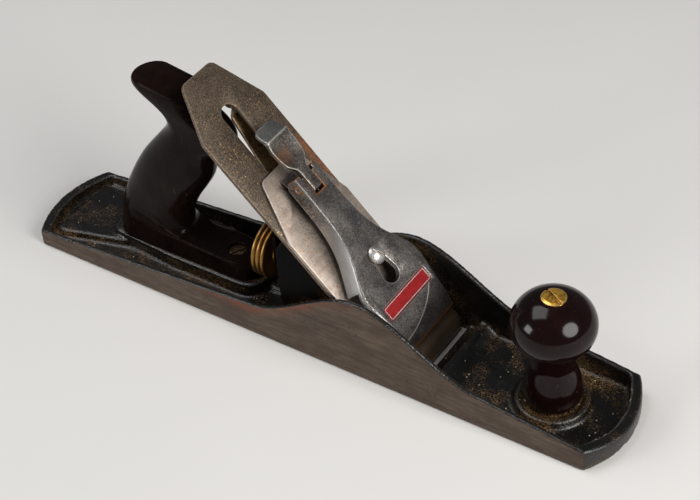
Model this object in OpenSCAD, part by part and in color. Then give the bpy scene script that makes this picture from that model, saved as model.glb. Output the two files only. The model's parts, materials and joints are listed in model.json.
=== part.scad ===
// Iron bench plane, jack size, in millimetres.
// X runs to the toe, Y to the left side, Z up. The origin is under the middle of the sole.
// Distances u run up the slope from the cutting edge, and h stands off the iron's front face.

/* [Body] */
// Length of the sole over its curved ends
bed_length = 355.6; // [340:0.1:380]
// Room between the iron and each cheek
iron_room = 1.55; // [1.4:0.05:2]
// Thickness of the sole
sole_t = 4; // [3.5:0.1:4.5]
// Thickness of the side cheeks
cheek_t = 3.2; // [2.6:0.1:3.3]
// Width of the raised lip at the toe and heel
lip_w = 6; // [4:0.5:8]
// How far the toe bows forward in plan
toe_bow = 9.9; // [8:0.1:12]
// How far the heel bows back in plan
heel_bow = 8.7; // [7:0.1:11]
// Height of the lip at the tip of the toe
toe_lip_z = 8.5; // [7.5:0.1:10]
// Height of the rim where the toe's curve starts
toe_corner_z = 12.6; // [11:0.1:14]
// Height of the rim at the heel
heel_lip_z = 9.8; // [8:0.1:11]
// Height of the rim at the front foot of each cheek
cheek_front_z = 19.8; // [18:0.1:22]
// Height of the rim at the rear foot of each cheek
cheek_rear_z = 19.5; // [18:0.1:22]
// Height of the cheeks at their peak
cheek_peak_z = 49.5; // [44:0.5:50]
// Place of the cheeks' peak
cheek_peak_x = 42; // [38:1:46]
// Length over which the cheek falls towards the toe
cheek_fall = 70; // [60:1:80]
// Length over which the cheek rises from the heel side
cheek_rise = 70; // [60:1:80]

/* [Mouth and slope] */
// Where the cutting edge meets the sole
edge_x = 69.3; // [66:0.1:72]
// Pitch of the bed
bed_angle = 45; // [44:0.5:46]
// Gap from the iron's face to the front of the mouth
mouth_gap = 3; // [2.6:0.1:4]
// Height of the rib across the bed ahead of the mouth
cross_rib_z = 9.5; // [7:0.1:11]
// Width of that rib's top
cross_rib_w = 3.5; // [2.5:0.1:5]
// Set of the edge above the sole when the iron is drawn in
edge_set = 0.4; // [0.2:0.1:1]

/* [Plane iron] */
// Width of the iron
iron_w = 50.8; // [49:0.1:51]
// Thickness of the iron
iron_t = 2; // [1.8:0.1:2.2]
// Distance from the edge to the top of the iron
iron_len = 189; // [180:1:195]
// Width of the iron's flat top edge
iron_top_w = 24; // [18:1:30]
// Distance from the edge to where the sides start to taper
iron_shoulder = 160; // [150:1:170]
// Width of the slot
slot_w = 11; // [10.6:0.1:11.6]
// Distance from the edge to the top of the slot
slot_top = 168; // [160:1:172]
// Distance from the edge to the centre of the slot's round end hole
slot_hole_u = 36; // [34:1:40]
// Diameter of that hole
slot_hole_d = 18; // [17.4:0.1:20]
// Grinding angle of the edge
grind_angle = 25; // [22:1:35]

/* [Cap iron] */
// Thickness of the cap iron
cap_iron_t = 2; // [1.8:0.1:2.2]
// Setback of its edge from the iron's edge
cap_iron_back = 1.6; // [1:0.1:3]
// Distance from the edge to its top
cap_iron_top = 128; // [125:1:132]
// Distance from the edge to where its sides taper
cap_iron_shoulder = 96; // [90:1:104]
// Width of its top edge
cap_iron_top_w = 29; // [26:1:34]
// Height of the hump behind its edge
hump_h = 2.9; // [2.5:0.1:3]
// Length of the hump
hump_len = 17; // [15:1:18]

/* [Lever cap] */
// Distance from the edge to the cap's lower end
cap_low = 13; // [12:0.5:16]
// Distance from the edge to the cap's top end
cap_top = 119; // [116:1:121]
// How far the sides of the cap's lower part lie in from the iron's
cap_inset = 0.4; // [0.2:0.1:1]
// Width of the cap across its upper flanges
cap_neck_w = 17.6; // [17:0.1:20]
// Distance from the edge to the start of the cap's taper
cap_shoulder = 46; // [42:1:50]
// Length that sets how fast the cap narrows
cap_taper = 24; // [20:1:28]
// Height of the cap's top face
cap_face_h = 16.5; // [16:0.1:17]
// Thickness of the cap's plate
cap_plate_t = 3; // [2.6:0.1:3.3]
// Thickness of the cap's flanges
cap_flange_t = 2.4; // [2:0.1:2.8]
// Distance from the edge to the lower ends of the cap's flanges
flange_end = 56.5; // [54:0.5:58]
// Thickness of the cap's lower lip
cap_lip_t = 4.4; // [3:0.1:5]
// Width of the opening between the cap's prongs
cap_fork_w = 10.4; // [9:0.1:12]
// Distance from the edge to the cap screw
cap_screw_u = 64; // [62:0.5:65]
// Diameter of the cap screw's shank
cap_screw_d = 6.6; // [6:0.1:6.8]
// Diameter of the cap screw's head
cap_screw_head_d = 9.8; // [9.4:0.1:10.4]
// How far the cap slides up until the screw's head lies in the wide end of the keyhole
keyhole_travel = 11; // [10.5:0.5:12]
// Width of the sunken panel
panel_w = 38; // [30:1:40]
// Height of the sunken panel
panel_h = 8.4; // [7:0.1:9]
// Distance from the edge to the centre of the panel
panel_u = 39.2; // [38.6:0.1:40]
// Depth of the sunken panel
panel_depth = 0.7; // [0.4:0.1:1]

/* [Cam lever] */
// Distance from the edge to the cam's pin
cam_u = 113.8; // [112:0.1:114.5]
// Height of the cam's pin
cam_h = 13.2; // [13:0.1:13.6]
// Diameter of the pin
cam_pin_d = 3.2; // [2.8:0.1:3.6]
// Width of the cam and its neck
cam_w = 5.4; // [5:0.1:6]
// Radius of the cam
cam_r = 5.1; // [4.8:0.1:5.2]
// How far the cam's centre lies off the pin
cam_throw = 0.9; // [0.6:0.1:1]
// Width of the thumb end
thumb_w = 16.4; // [15:0.2:18]
// Distance from the pin to the tip of the thumb end
thumb_reach = 34.5; // [34:0.1:37]

/* [Frog] */
// How far the frog's sides lie in from the iron's
frog_inset = 1.9; // [1.6:0.1:2.4]
// Distance from the edge to the top of the frog
frog_top = 98; // [97:0.5:99]
// Height of the frog's seat
seat_z = 8; // [7.5:0.1:9]
// Place of the frog's back
frog_back_x = -9; // [-10:0.2:-8]
// Travel of the frog each way
frog_travel = 1.5; // [1:0.1:1.5]
// Place of the frog screws along the bed
frog_screw_x = 38; // [36:0.5:40]
// Spread of the frog screws
frog_screw_gap = 30; // [29:0.5:31]
// Diameter of the frog screws
frog_screw_d = 5.6; // [5:0.1:6]
// Diameter of the washers
washer_d = 10; // [9:0.1:10.4]
// Thickness of the frog's foot over the seat
foot_t = 6; // [5:0.2:6.4]
// Height of the adjusting screw's axis
adjust_z = 11.5; // [11.3:0.1:11.7]
// Diameter of the adjusting screw
adjust_d = 5; // [4.6:0.1:5.2]

/* [Depth wheel and yoke] */
// Height of the wheel's axis
wheel_z = 34.5; // [34:0.1:35]
// Place of the wheel's rear face
wheel_x = -33; // [-34:0.1:-32.4]
// Diameter of the wheel
wheel_d = 31.8; // [30:0.1:32.4]
// Width of the ribbed rim
wheel_w = 8.6; // [8:0.1:9]
// Number of ridges round the rim
wheel_ridges = 3; // [2:1:4]
// Diameter of the wheel's stud
stud_d = 7.1; // [6.6:0.1:7.2]
// Diameter at the bottom of the hub's groove
hub_d = 12; // [11.4:0.1:12.4]
// Diameter of the flange past the groove
hub_flange_d = 19; // [18:0.2:19.4]
// Width of the groove
groove_w = 5.4; // [5.2:0.1:5.6]
// Place of the yoke's pin along the bed
yoke_x = -2; // [-2.3:0.1:-1.7]
// Height of the yoke's pin
yoke_z = 47; // [46.8:0.1:47.3]
// Diameter of the yoke's pin
yoke_pin_d = 3.2; // [3:0.1:3.4]
// Distance from the edge to the yoke's tongue
tongue_u = 75; // [74.6:0.1:75.2]
// Width of the tongue
tongue_w = 6; // [5.6:0.1:6.4]
// Thickness of the tongue
tongue_t = 2.6; // [2.2:0.1:2.8]

/* [Lateral lever] */
// Distance from the edge to the lever's rivet
rivet_u = 92; // [91.8:0.1:92.4]
// Distance from the rivet down to the disc
disc_arm = 8; // [7.6:0.1:8.2]
// Clearance between the disc and the slot, all round
disc_clear = 0.75; // [0.7:0.01:0.8]
// Distance from the edge to the tip of the lever
lateral_tip_u = 170; // [158:1:170]
// Width of the lever
lateral_w = 9; // [8:0.1:9.4]
// Thickness of the lever
lateral_t = 1.8; // [1.5:0.1:1.9]
// Lean of the lever at rest
lateral_lean = 4; // [0:0.5:4]
// Bend of the lever's upper part to the same side
lateral_bend = 5; // [0:0.5:6]

/* [Tote] */
// Height of the pad that the tote stands on
tote_z = 12; // [11:0.2:13]
// Half the thickness of the tote
tote_half = 11.4; // [10.5:0.1:12]
// Diameter of the rod through the tote
rod_d = 6; // [5.4:0.1:6.2]
// Diameter of the nut on the tote
tote_nut_d = 10.4; // [9:0.1:10.6]
// Diameter of the screw in the tote's foot
toe_screw_d = 4.6; // [4:0.1:5.4]
// Diameter of that screw's head
toe_screw_head_d = 9.6; // [8.6:0.1:10.4]

/* [Knob] */
// Distance from the knob's axis to the tip of the toe
knob_from_toe = 42.6; // [40:0.1:45]
// Height of the knob's top
knob_top = 74; // [68:0.5:80]
// Diameter of the knob's ball
knob_ball_d = 42.4; // [38:0.1:46]
// Height of the knob's ball
knob_ball_h = 32.8; // [30:0.1:36]
// Diameter of the knob's neck
knob_neck_d = 21.8; // [20:0.1:26]
// Diameter of the knob's foot
knob_foot_d = 30; // [28:0.1:32]
// Diameter of the ring round the knob
ring_d = 39; // [38:0.1:42]
// Diameter of the knob's nut
knob_nut_d = 12; // [10.6:0.1:13]

/* [Fits] */
// Radial clearance of a pin or shaft in its hole
running = 0.05; // [0.02:0.01:0.09]
// Clearance between pieces that pass each other
pass = 0.3; // [0.25:0.01:0.4]
// Width of the screwdriver slots
driver_w = 1.2; // [1:0.1:1.6]
// Depth of the screwdriver slots
driver_d = 1.2; // [0.8:0.1:1.4]

/* [Hidden] */
$fn = 72;
big = 400;
eps = 0.01;

// Points and frames on the slope

function on_slope(u, h) = [
  edge_x - u * cos(bed_angle) + h * sin(bed_angle),
  u * sin(bed_angle) + h * cos(bed_angle)
];

// Local x runs up the slope as u, and local z stands off the iron's face as h
module slope() translate([edge_x, 0, 0]) rotate([0, bed_angle, 0]) mirror([1, 0, 0]) children();

// Turns a drawing in x and z, or u and h, into a bar of width w across the plane
module across(w) rotate([90, 0, 0]) linear_extrude(w, center = true) children();

// A cylinder along X that starts at x
module along_x(x, d, len) translate([x, 0, 0]) rotate([0, 90, 0]) cylinder(d = d, h = len);

// A straight slot standing on z = 0, round ended, along X
module slot_bar(d, travel, h) {
  for (s = [-1, 1]) translate([s * travel, 0, 0]) cylinder(d = d, h = h);
  translate([-travel, -d / 2, 0]) cube([2 * travel, d, h]);
}

function unit(v) = v / norm(v);

// Points of an arc of radius r that rounds the corner b between a and c
function corner(a, b, c, r, n = 6) =
  let (p = unit(a - b), q = unit(c - b), half = acos(p * q) / 2)
  let (start = b + p * r / tan(half), end = b + q * r / tan(half))
  let (centre = b + unit(p + q) * r / sin(half))
  let (a0 = atan2(start.y - centre.y, start.x - centre.x))
  let (a1 = atan2(end.y - centre.y, end.x - centre.x))
  let (turn = a1 - a0, sweep = turn > 180 ? turn - 360 : turn < -180 ? turn + 360 : turn)
  [for (i = [0:n]) centre + r * [cos(a0 + sweep * i / n), sin(a0 + sweep * i / n)]];

// A closed outline whose points are [x, y, radius]
function rounded(pts) = [
  for (i = [0:len(pts) - 1])
    let (m = len(pts), a = pts[(i + m - 1) % m], b = pts[i], c = pts[(i + 1) % m])
    each b.z == 0 ? [[b.x, b.y]] : corner([a.x, a.y], [b.x, b.y], [c.x, c.y], b.z)
];

function mirrored(pts) = concat(pts, [for (i = [len(pts) - 1:-1:0]) [pts[i].x, -pts[i].y, pts[i].z]]);

function ease(t) = let (k = min(1, max(0, t))) k * k * (3 - 2 * k);

function mix(a, b, t) = a + (b - a) * t;

// Bed

bed_width = iron_w + 2 * (iron_room + cheek_t);
knob_x = bed_length / 2 - knob_from_toe;
frog_w = iron_w - 2 * frog_inset;
toe_r =(pow(bed_width / 2, 2) + pow(toe_bow, 2)) / (2 * toe_bow);
heel_r = (pow(bed_width / 2, 2) + pow(heel_bow, 2)) / (2 * heel_bow);
toe_cx = bed_length / 2 - toe_r;
heel_cx = heel_r - bed_length / 2;
inner_half = bed_width / 2 - cheek_t;
cheek_front_x = cheek_peak_x + cheek_fall;
cheek_rear_x = cheek_peak_x - cheek_rise;
toe_corner_x = bed_length / 2 - toe_bow;
heel_corner_x = heel_bow - bed_length / 2;
mouth_w = iron_w + 2.2;
mouth_front_x = edge_x + mouth_gap;
ramp_x = edge_x - iron_t / sin(bed_angle) - frog_travel - pass;
seat_w = frog_w - 3;
knob_seat_z = sole_t + 2.2;
adjust_boss_w = 12;
adjust_boss_x = -5;
adjust_boss_len = 14;

function rim_z(x) =
  x > toe_corner_x ? mix(toe_corner_z, toe_lip_z, (x - toe_corner_x) / toe_bow) :
  x > cheek_front_x ? mix(cheek_front_z, toe_corner_z, (x - cheek_front_x) / (toe_corner_x - cheek_front_x)) :
  x > cheek_peak_x ? mix(cheek_peak_z, cheek_front_z, ease((x - cheek_peak_x) / cheek_fall)) :
  x > cheek_rear_x ? mix(cheek_rear_z, cheek_peak_z, ease((x - cheek_rear_x) / cheek_rise)) :
  mix(heel_lip_z, cheek_rear_z, max(0, (x - heel_corner_x) / (cheek_rear_x - heel_corner_x)));

// Plan of the bed, drawn in by side_in at the cheeks and end_in at both ends
module bed_plan(side_in = 0, end_in = 0) {
  half = bed_width / 2 - side_in;
  toe_chord = toe_cx + sqrt(pow(toe_r - end_in, 2) - half * half);
  heel_chord = heel_cx - sqrt(pow(heel_r - end_in, 2) - half * half);
  intersection() {
    square([bed_length, 2 * half], center = true);
    union() {
      translate([-big, -big / 2]) square([big + toe_chord, big]);
      translate([toe_cx, 0]) circle(r = toe_r - end_in, $fn = 180);
    }
    union() {
      translate([heel_chord, -big / 2]) square([big, big]);
      translate([heel_cx, 0]) circle(r = heel_r - end_in, $fn = 180);
    }
  }
}

module bed_rim() {
  steps = 160;
  top = [for (i = [0:steps]) let (x = mix(-bed_length / 2, bed_length / 2, i / steps)) [x, rim_z(x)]];
  intersection() {
    linear_extrude(cheek_peak_z + 1) difference() {
      bed_plan();
      bed_plan(cheek_t, lip_w);
    }
    across(bed_width + 2) polygon(concat([[bed_length / 2, 0], [-bed_length / 2, 0]], top));
  }
}

pad_rear_x = -134;
pad_front_x = -34;
pad_half = tote_half + 1.4;
rod_tilt = 17;
rod_base_x = -100.5;
rod_len = 108;
toe_screw_x = -54;

module tote_pad() {
  // The pad itself, as wide as the tote
  translate([0, 0, sole_t - eps]) linear_extrude(tote_z - sole_t + eps)
    polygon(rounded(mirrored([[pad_rear_x, pad_half - 3, 6], [-90, pad_half, 20], [pad_front_x, pad_half, 11]])));
  // The low plateau that widens from the tote to the heel
  translate([0, 0, sole_t - eps]) linear_extrude(heel_lip_z - 1.8 - sole_t)
    polygon(rounded(mirrored([[heel_corner_x + 4, inner_half - 4, 4], [-112, pad_half - 4, 0]])));
  // The low rib from the pad to the frog's seat, clear of the adjusting screw's head
  translate([pad_front_x - 4, -2, sole_t - eps]) cube([frog_back_x - pad_front_x + 6, 4, 2.6]);
}

module knob_boss() {
  translate([knob_x, 0, sole_t - eps]) {
    cylinder(d = ring_d, h = 1.9);
    difference() {
      cylinder(d = ring_d - 1.6, h = 4.2);
      translate([0, 0, 1]) cylinder(d = knob_foot_d + 1, h = 10);
    }
    cylinder(d = ring_d - 5, h = knob_seat_z - sole_t + eps);
  }
}

module rod_hole(d, from, to)
  translate([rod_base_x, 0, tote_z]) rotate([0, rod_tilt, 0]) translate([0, 0, from]) cylinder(d = d, h = to - from);

module bed() color("dimgray") difference() {
  union() {
    linear_extrude(sole_t) bed_plan();
    bed_rim();
    tote_pad();
    knob_boss();
    // Frog seat, and the boss that the adjusting screw is tapped into
    translate([adjust_boss_x, -seat_w / 2, sole_t - eps])
      cube([edge_x - adjust_boss_x, seat_w, seat_z - sole_t + eps]);
    translate([adjust_boss_x, -adjust_boss_w / 2, sole_t - eps])
      cube([adjust_boss_len, adjust_boss_w, adjust_z + adjust_d - sole_t]);
    // Cross rib ahead of the mouth
    across(2 * inner_half + 1) polygon([
      [mouth_front_x + 4.5, sole_t - eps], [mouth_front_x + 7.5, cross_rib_z],
      [mouth_front_x + 7.5 + cross_rib_w, cross_rib_z], [mouth_front_x + 17.5, sole_t - eps]
    ]);
  }
  // Mouth, with its ramp in line with the frog's face
  across(mouth_w) polygon([
    [ramp_x + tan(bed_angle), -1], [mouth_front_x, -1], [mouth_front_x, seat_z + 1],
    [ramp_x - (seat_z + 1) / tan(90 - bed_angle), seat_z + 1]
  ]);
  for (s = [-1, 1]) translate([frog_screw_x, s * frog_screw_gap / 2, 1.4])
    cylinder(d = frog_screw_d + 2 * running, h = big / 10);
  translate([0, 0, adjust_z]) along_x(adjust_boss_x - 1, adjust_d + 2 * running, adjust_boss_len + 3);
  rod_hole(rod_d + 2 * running, -8, 1);
  translate([toe_screw_x, 0, 1.6]) cylinder(d = toe_screw_d + 2 * running, h = tote_z);
  translate([knob_x, 0, 1.4]) cylinder(d = rod_d + 2 * running, h = tote_z);
}

// Frog

cavity_w = 19;
foot_z = seat_z + foot_t;
well_d = washer_d + 2 * frog_travel + 1;
seat_gap = 0.01;
face_h = -iron_t - seat_gap;
lever_floor_h = face_h - 1.2 - lateral_t;
stud_boss_d = 13;
clip_x = frog_back_x - 3.2;
clip_screw_z = 19.6;
clip_screw_d = 3.4;
adjust_channel_w = adjust_boss_w + 1.6;
plate_h = face_h - 7;
yoke_pin_len = cavity_w + 8;

module frog() color("darkslategray") {
  top_front = on_slope(frog_top, face_h);
  top_back = on_slope(frog_top, face_h - 8);
  toe = [edge_x + face_h / sin(bed_angle) - seat_z / tan(bed_angle), seat_z];
  low = on_slope(tongue_u - 5.5, plate_h);
  high = on_slope(rivet_u - 4, plate_h);
  difference() {
    union() {
      across(frog_w) polygon([
        toe, top_front, top_back, [frog_back_x, top_back.y - 3], [frog_back_x, seat_z]
      ]);
      translate([0, 0, wheel_z]) along_x(frog_back_x - 3, stud_boss_d, 4);
      translate([clip_x, -7, foot_z + 0.8]) cube([4, 14, 9.6]);
    }
    // Central hollow for the yoke, open at the back
    across(cavity_w) polygon([
      [frog_back_x - 10, yoke_z - 6.5], [yoke_x + 4, yoke_z - 6.5], low, high, [frog_back_x - 10, high.y]
    ]);
    // Side hollows, open at the back
    for (s = [-1, 1]) translate([0, s * (frog_w / 2 - 8.5), 0]) across(8) polygon([
      [frog_back_x - 1, foot_z], [frog_screw_x - well_d / 2 - 5, foot_z],
      [frog_screw_x - well_d / 2 - 5, foot_z + 4], [yoke_x + 12, yoke_z - 10], [frog_back_x - 1, yoke_z - 10]
    ]);
    // Channel over the adjusting screw's boss
    translate([frog_back_x - 6, -adjust_channel_w / 2, seat_z - 1])
      cube([adjust_boss_x + adjust_boss_len + 3 - frog_back_x + 6, adjust_channel_w, adjust_z + adjust_d - seat_z + 1.8]);
    // Wells and slots for the frog screws
    for (s = [-1, 1]) translate([frog_screw_x, s * frog_screw_gap / 2, 0]) {
      translate([0, 0, foot_z]) slot_bar(well_d - 2 * frog_travel, frog_travel, 60);
      slot_bar(frog_screw_d + 0.8, frog_travel, 30);
    }
    slope() {
      // Window for the tongue
      translate([tongue_u - 6, -tongue_w / 2 - 1, plate_h - 3]) cube([11.5, tongue_w + 2, 12]);
      // Recess for the lateral lever and its disc
      translate([rivet_u - disc_arm - 7, -10, lever_floor_h]) cube([30, 20, 20]);
      translate([rivet_u, 0, lever_floor_h - 5]) cylinder(d = rivet_d + 2 * running, h = 10);
      // Tapped hole for the cap screw
      translate([cap_screw_u, 0, face_h - 16]) cylinder(d = cap_screw_d + 2 * running, h = 20);
    }
    translate([yoke_x, -yoke_pin_len / 2, yoke_z]) rotate([-90, 0, 0])
      cylinder(d = yoke_pin_d + 2 * running, h = yoke_pin_len);
    translate([0, 0, wheel_z]) along_x(frog_back_x - 4, stud_d + 2 * running, 14);
    translate([0, 0, clip_screw_z]) along_x(clip_x - 1, clip_screw_d + 2 * running, 9);
  }
}

module frog_washers() color("silver")
  for (s = [-1, 1]) translate([frog_screw_x, s * frog_screw_gap / 2, foot_z]) difference() {
    cylinder(d = washer_d, h = washer_t);
    translate([0, 0, -1]) cylinder(d = frog_screw_d + 2 * running, h = washer_t + 2);
  }

washer_t = 1.2;
screw_head_t = 3.4;

// A slotted screw whose head stands on z = 0 with its shank below
module slotted_screw(d, len, head_d, head_t) difference() {
  union() {
    translate([0, 0, -len]) cylinder(d = d, h = len + eps);
    cylinder(d = head_d, h = head_t);
  }
  translate([-head_d, -driver_w / 2, head_t - driver_d]) cube([2 * head_d, driver_w, big / 10]);
}

module frog_screws() color("gray")
  for (s = [-1, 1]) translate([frog_screw_x, s * frog_screw_gap / 2, foot_z + washer_t])
    slotted_screw(frog_screw_d, foot_z + washer_t - 2, frog_screw_d + 3, screw_head_t);

clip_t = 1.5;
clip_groove_w = clip_t + 0.2;
adjust_head_d = 8.8;
adjust_neck_d = adjust_d - 0.2;

module frog_adjusting_screw() color("gray") translate([0, 0, adjust_z]) difference() {
  union() {
    along_x(clip_x + 0.1, adjust_d, adjust_boss_x + adjust_boss_len - clip_x - 1);
    along_x(clip_x + 0.1, adjust_head_d - 1, 1);
    along_x(clip_x - clip_groove_w, adjust_neck_d - 1, clip_groove_w + 1);
    along_x(clip_x - clip_groove_w - 5, adjust_head_d, 5.1);
  }
  translate([clip_x - clip_groove_w - 6, -driver_w / 2, -10]) cube([1 + driver_d, driver_w, 20]);
}

module frog_adjusting_clip() color("silver") difference() {
  translate([clip_x - clip_t, -6, adjust_z - 1.6]) cube([clip_t, 12, clip_screw_z - adjust_z + 5]);
  translate([clip_x - 5, -(adjust_neck_d - 1) / 2 - 0.2, adjust_z - 10])
    cube([10, adjust_neck_d - 0.6, 10]);
  translate([0, 0, adjust_z]) along_x(clip_x - 5, adjust_neck_d - 0.6, 10);
  translate([0, 0, clip_screw_z]) along_x(clip_x - 5, clip_screw_d + 2 * running, 10);
}

module frog_clip_screw() color("gray") translate([clip_x - clip_t, 0, clip_screw_z]) rotate([0, -90, 0])
  slotted_screw(clip_screw_d, clip_t + 7, clip_screw_d + 2, 1.8);

// Depth adjustment

wheel_front_x = wheel_x + wheel_w;
hub_len = 9.6;
groove_x = wheel_front_x + 0.8;
hub_front_x = wheel_front_x + hub_len - 1.4;

module depth_nut() color("goldenrod") translate([wheel_x, 0, wheel_z]) rotate([0, 90, 0]) {
  pitch = wheel_w / wheel_ridges;
  r = wheel_d / 2;
  bore = stud_d / 2 + running;
  dish_r = r - 3.5;
  dish = 1.4;
  collar_r = hub_d / 2 + 1.5;
  flange_r = hub_flange_d / 2;
  groove_from = groove_x - wheel_x;
  groove_to = groove_from + groove_w;
  rim = [for (i = [0:wheel_ridges - 1]) each [
    [r - 1.3, i * pitch + 0.05], [r - 0.45, i * pitch + pitch * 0.16], [r, i * pitch + pitch * 0.32],
    [r, i * pitch + pitch * 0.62], [r - 0.45, i * pitch + pitch * 0.8], [r - 1.3, i * pitch + pitch * 0.95]
  ]];
  front = rim[len(rim) - 1].y;
  // Dished rear face, ridged rim, collar, groove and flange in one turned profile
  rotate_extrude($fn = 120) polygon(concat(
    [[bore, 0], [hub_d / 2, 0], [hub_d / 2, dish], [dish_r, dish], [dish_r, rim[0].y]], rim,
    [[collar_r, front], [collar_r, groove_from], [hub_d / 2, groove_from], [hub_d / 2, groove_to],
      [flange_r, groove_to], [flange_r, hub_front_x - wheel_x], [bore, hub_front_x - wheel_x]]
  ));
}

module depth_nut_stud() color("silver") translate([0, 0, wheel_z])
  along_x(wheel_x - 1.5, stud_d, frog_back_x + 9.5 - wheel_x + 1.5);

tine_t = 2.2;
tine_w = 2.6;
tine_x = groove_x + groove_w / 2;
tine_gap = hub_d + 2 * pass + 0.4;
yoke_arm_w = 7;

module yoke_lever() color("slategray") {
  tip = on_slope(tongue_u, cap_iron_t - 0.4);
  root = on_slope(tongue_u, plate_h + 1);
  side = tongue_t / 2 * [cos(bed_angle), -sin(bed_angle)];
  difference() {
    union() {
      across(tongue_w) polygon([tip - side, tip + side, root + side, [yoke_x + 3.4, yoke_z - 1.4], [yoke_x, yoke_z + 3.6], root - side]);
      translate([yoke_x, yoke_arm_w / 2, yoke_z]) rotate([90, 0, 0]) cylinder(d = 7.4, h = yoke_arm_w);
      across(yoke_arm_w) polygon([
        [yoke_x, yoke_z - 0.8], [yoke_x, yoke_z + 3.6], [tine_x - tine_t / 2, yoke_z + 3.6],
        [tine_x - tine_t / 2, yoke_z - 0.8]
      ]);
      translate([tine_x - tine_t / 2, -tine_gap / 2 - tine_w, yoke_z - 0.8])
        cube([tine_t, tine_gap + 2 * tine_w, 4.4]);
      for (s = [0, 1]) mirror([0, s, 0])
        translate([tine_x - tine_t / 2, tine_gap / 2, wheel_z - 2]) cube([tine_t, tine_w, yoke_z - wheel_z + 2]);
    }
    translate([yoke_x, -10, yoke_z]) rotate([-90, 0, 0]) cylinder(d = yoke_pin_d + 2 * running, h = 20);
  }
}

module yoke_pin() color("silver") translate([yoke_x, -yoke_pin_len / 2 + 0.2, yoke_z]) rotate([-90, 0, 0])
  cylinder(d = yoke_pin_d, h = yoke_pin_len - 0.4);

// Lateral adjustment

rivet_d = 4;
disc_pin_d = 3;
step_h = 4.4;
step_start_u = frog_top + 1.5;
step_end_u = step_start_u + 4;
twist_u = lateral_tip_u - 13;

// Turns its children about the lever's rivet by the lean at rest
module leaned() slope() translate([rivet_u, 0, 0]) rotate([0, 0, lateral_lean]) children();

module lateral_lever() color("peru") leaned() difference() {
  low = lever_floor_h;
  high = lever_floor_h + lateral_t;
  drop = step_h;
  twist = twist_u - rivet_u;
  // The strip's middle line moves aside from here on
  bend_from = 14;
  aside = (twist + 1 - bend_from) * tan(lateral_bend);
  union() {
    // Side view of the strip, with its step over the cap iron screw's head
    intersection() {
      across(20) polygon([
        [-disc_arm - 5, low], [step_start_u - rivet_u, low], [step_end_u - rivet_u, low - drop],
        [twist, low - drop], [twist, high - drop],
        [step_end_u - rivet_u + 0.7, high - drop], [step_start_u - rivet_u + 0.7, high], [-disc_arm - 5, high]
      ]);
      translate([0, 0, low - 10]) linear_extrude(20) polygon(rounded([
        [-disc_arm - 4.4, -4.4, 4], [-4, -lateral_w / 2 - 1, 3], [bend_from, -lateral_w / 2 - 0.6, 9],
        [twist + 1, aside - lateral_w / 2, 0], [twist + 1, aside + lateral_w / 2, 0],
        [bend_from, lateral_w / 2 + 0.6, 9], [-4, lateral_w / 2 + 1, 3], [-disc_arm - 4.4, 4.4, 4]
      ]));
    }
    // Twisted end, turned on edge in steps
    translate([twist, aside, low - drop + lateral_t / 2]) rotate([0, 0, lateral_bend]) {
      for (i = [0:5]) let (lap = i == 0 ? 0.6 : eps) translate([i * 1.2 - lap, 0, 0]) rotate([15 * (i + 1), 0, 0])
        translate([0, -lateral_w / 2, -lateral_t / 2]) cube([1.2 + lap + eps, lateral_w, lateral_t]);
      translate([7.2 - eps, 0, 0]) across(lateral_t) polygon(rounded([
        [0, -lateral_w / 2, 0], [lateral_tip_u - twist_u - 7.2, -lateral_w / 2, 2.5],
        [lateral_tip_u - twist_u - 7.2, lateral_w / 2, 2.5], [0, lateral_w / 2, 0]
      ]));
    }
  }
  translate([0, 0, low - 1]) cylinder(d = rivet_d + 2 * running, h = 6);
  translate([-disc_arm, 0, low - 1]) cylinder(d = disc_pin_d + 2 * running, h = 6);
}

module lateral_disc() color("silver") leaned() translate([-disc_arm, 0, 0]) {
  translate([0, 0, lever_floor_h + lateral_t]) cylinder(d = slot_w - 2 * disc_clear, h = -lever_floor_h - lateral_t - 0.3);
  translate([0, 0, lever_floor_h + 0.1]) cylinder(d = disc_pin_d, h = lateral_t);
}

module lateral_rivet() color("gray") slope() translate([rivet_u, 0, 0]) {
  translate([0, 0, lever_floor_h + lateral_t]) cylinder(d = rivet_d + 1.8, h = 0.8);
  translate([0, 0, lever_floor_h - 4.6]) cylinder(d = rivet_d, h = 4.7 + lateral_t);
}

// Irons

edge_u = edge_set / sin(bed_angle);

module plane_iron() color("rosybrown") slope() difference() {
  intersection() {
    across(iron_w) polygon([
      [edge_u, 0], [iron_len, 0], [iron_len, -iron_t], [edge_u + iron_t / tan(grind_angle), -iron_t]
    ]);
    translate([0, 0, -iron_t - 1]) linear_extrude(iron_t + 2) polygon(rounded([
      [0, -iron_w / 2, 0], [iron_shoulder, -iron_w / 2, 6], [iron_len, -iron_top_w / 2, 5],
      [iron_len, iron_top_w / 2, 5], [iron_shoulder, iron_w / 2, 6], [0, iron_w / 2, 0]
    ]));
  }
  translate([0, 0, -iron_t - 1]) {
    translate([slot_hole_u, 0, 0]) cylinder(d = slot_hole_d, h = iron_t + 2);
    translate([slot_hole_u, -slot_w / 2, 0]) cube([slot_top - slot_w / 2 - slot_hole_u, slot_w, iron_t + 2]);
    translate([slot_top - slot_w / 2, 0, 0]) cylinder(d = slot_w, h = iron_t + 2);
  }
}

depth_travel = 1.5;
cap_iron_screw_u = cap_iron_top - 16;
cap_iron_screw_d = 6.4;

// Height of the cap iron's outer face at u
function hump(u) = cap_iron_t + hump_h * pow(sin(180 * min(1, max(0, (u - cap_iron_back) / hump_len))), 2)
  - cap_iron_t * pow(max(0, 1 - (u - cap_iron_back) / 5), 2);

function hump_under(u) = let (a = cap_iron_back + 1.2)
  hump_h * 0.8 * pow(sin(180 * min(1, max(0, (u - a) / (hump_len - 1.6)))), 2);

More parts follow.
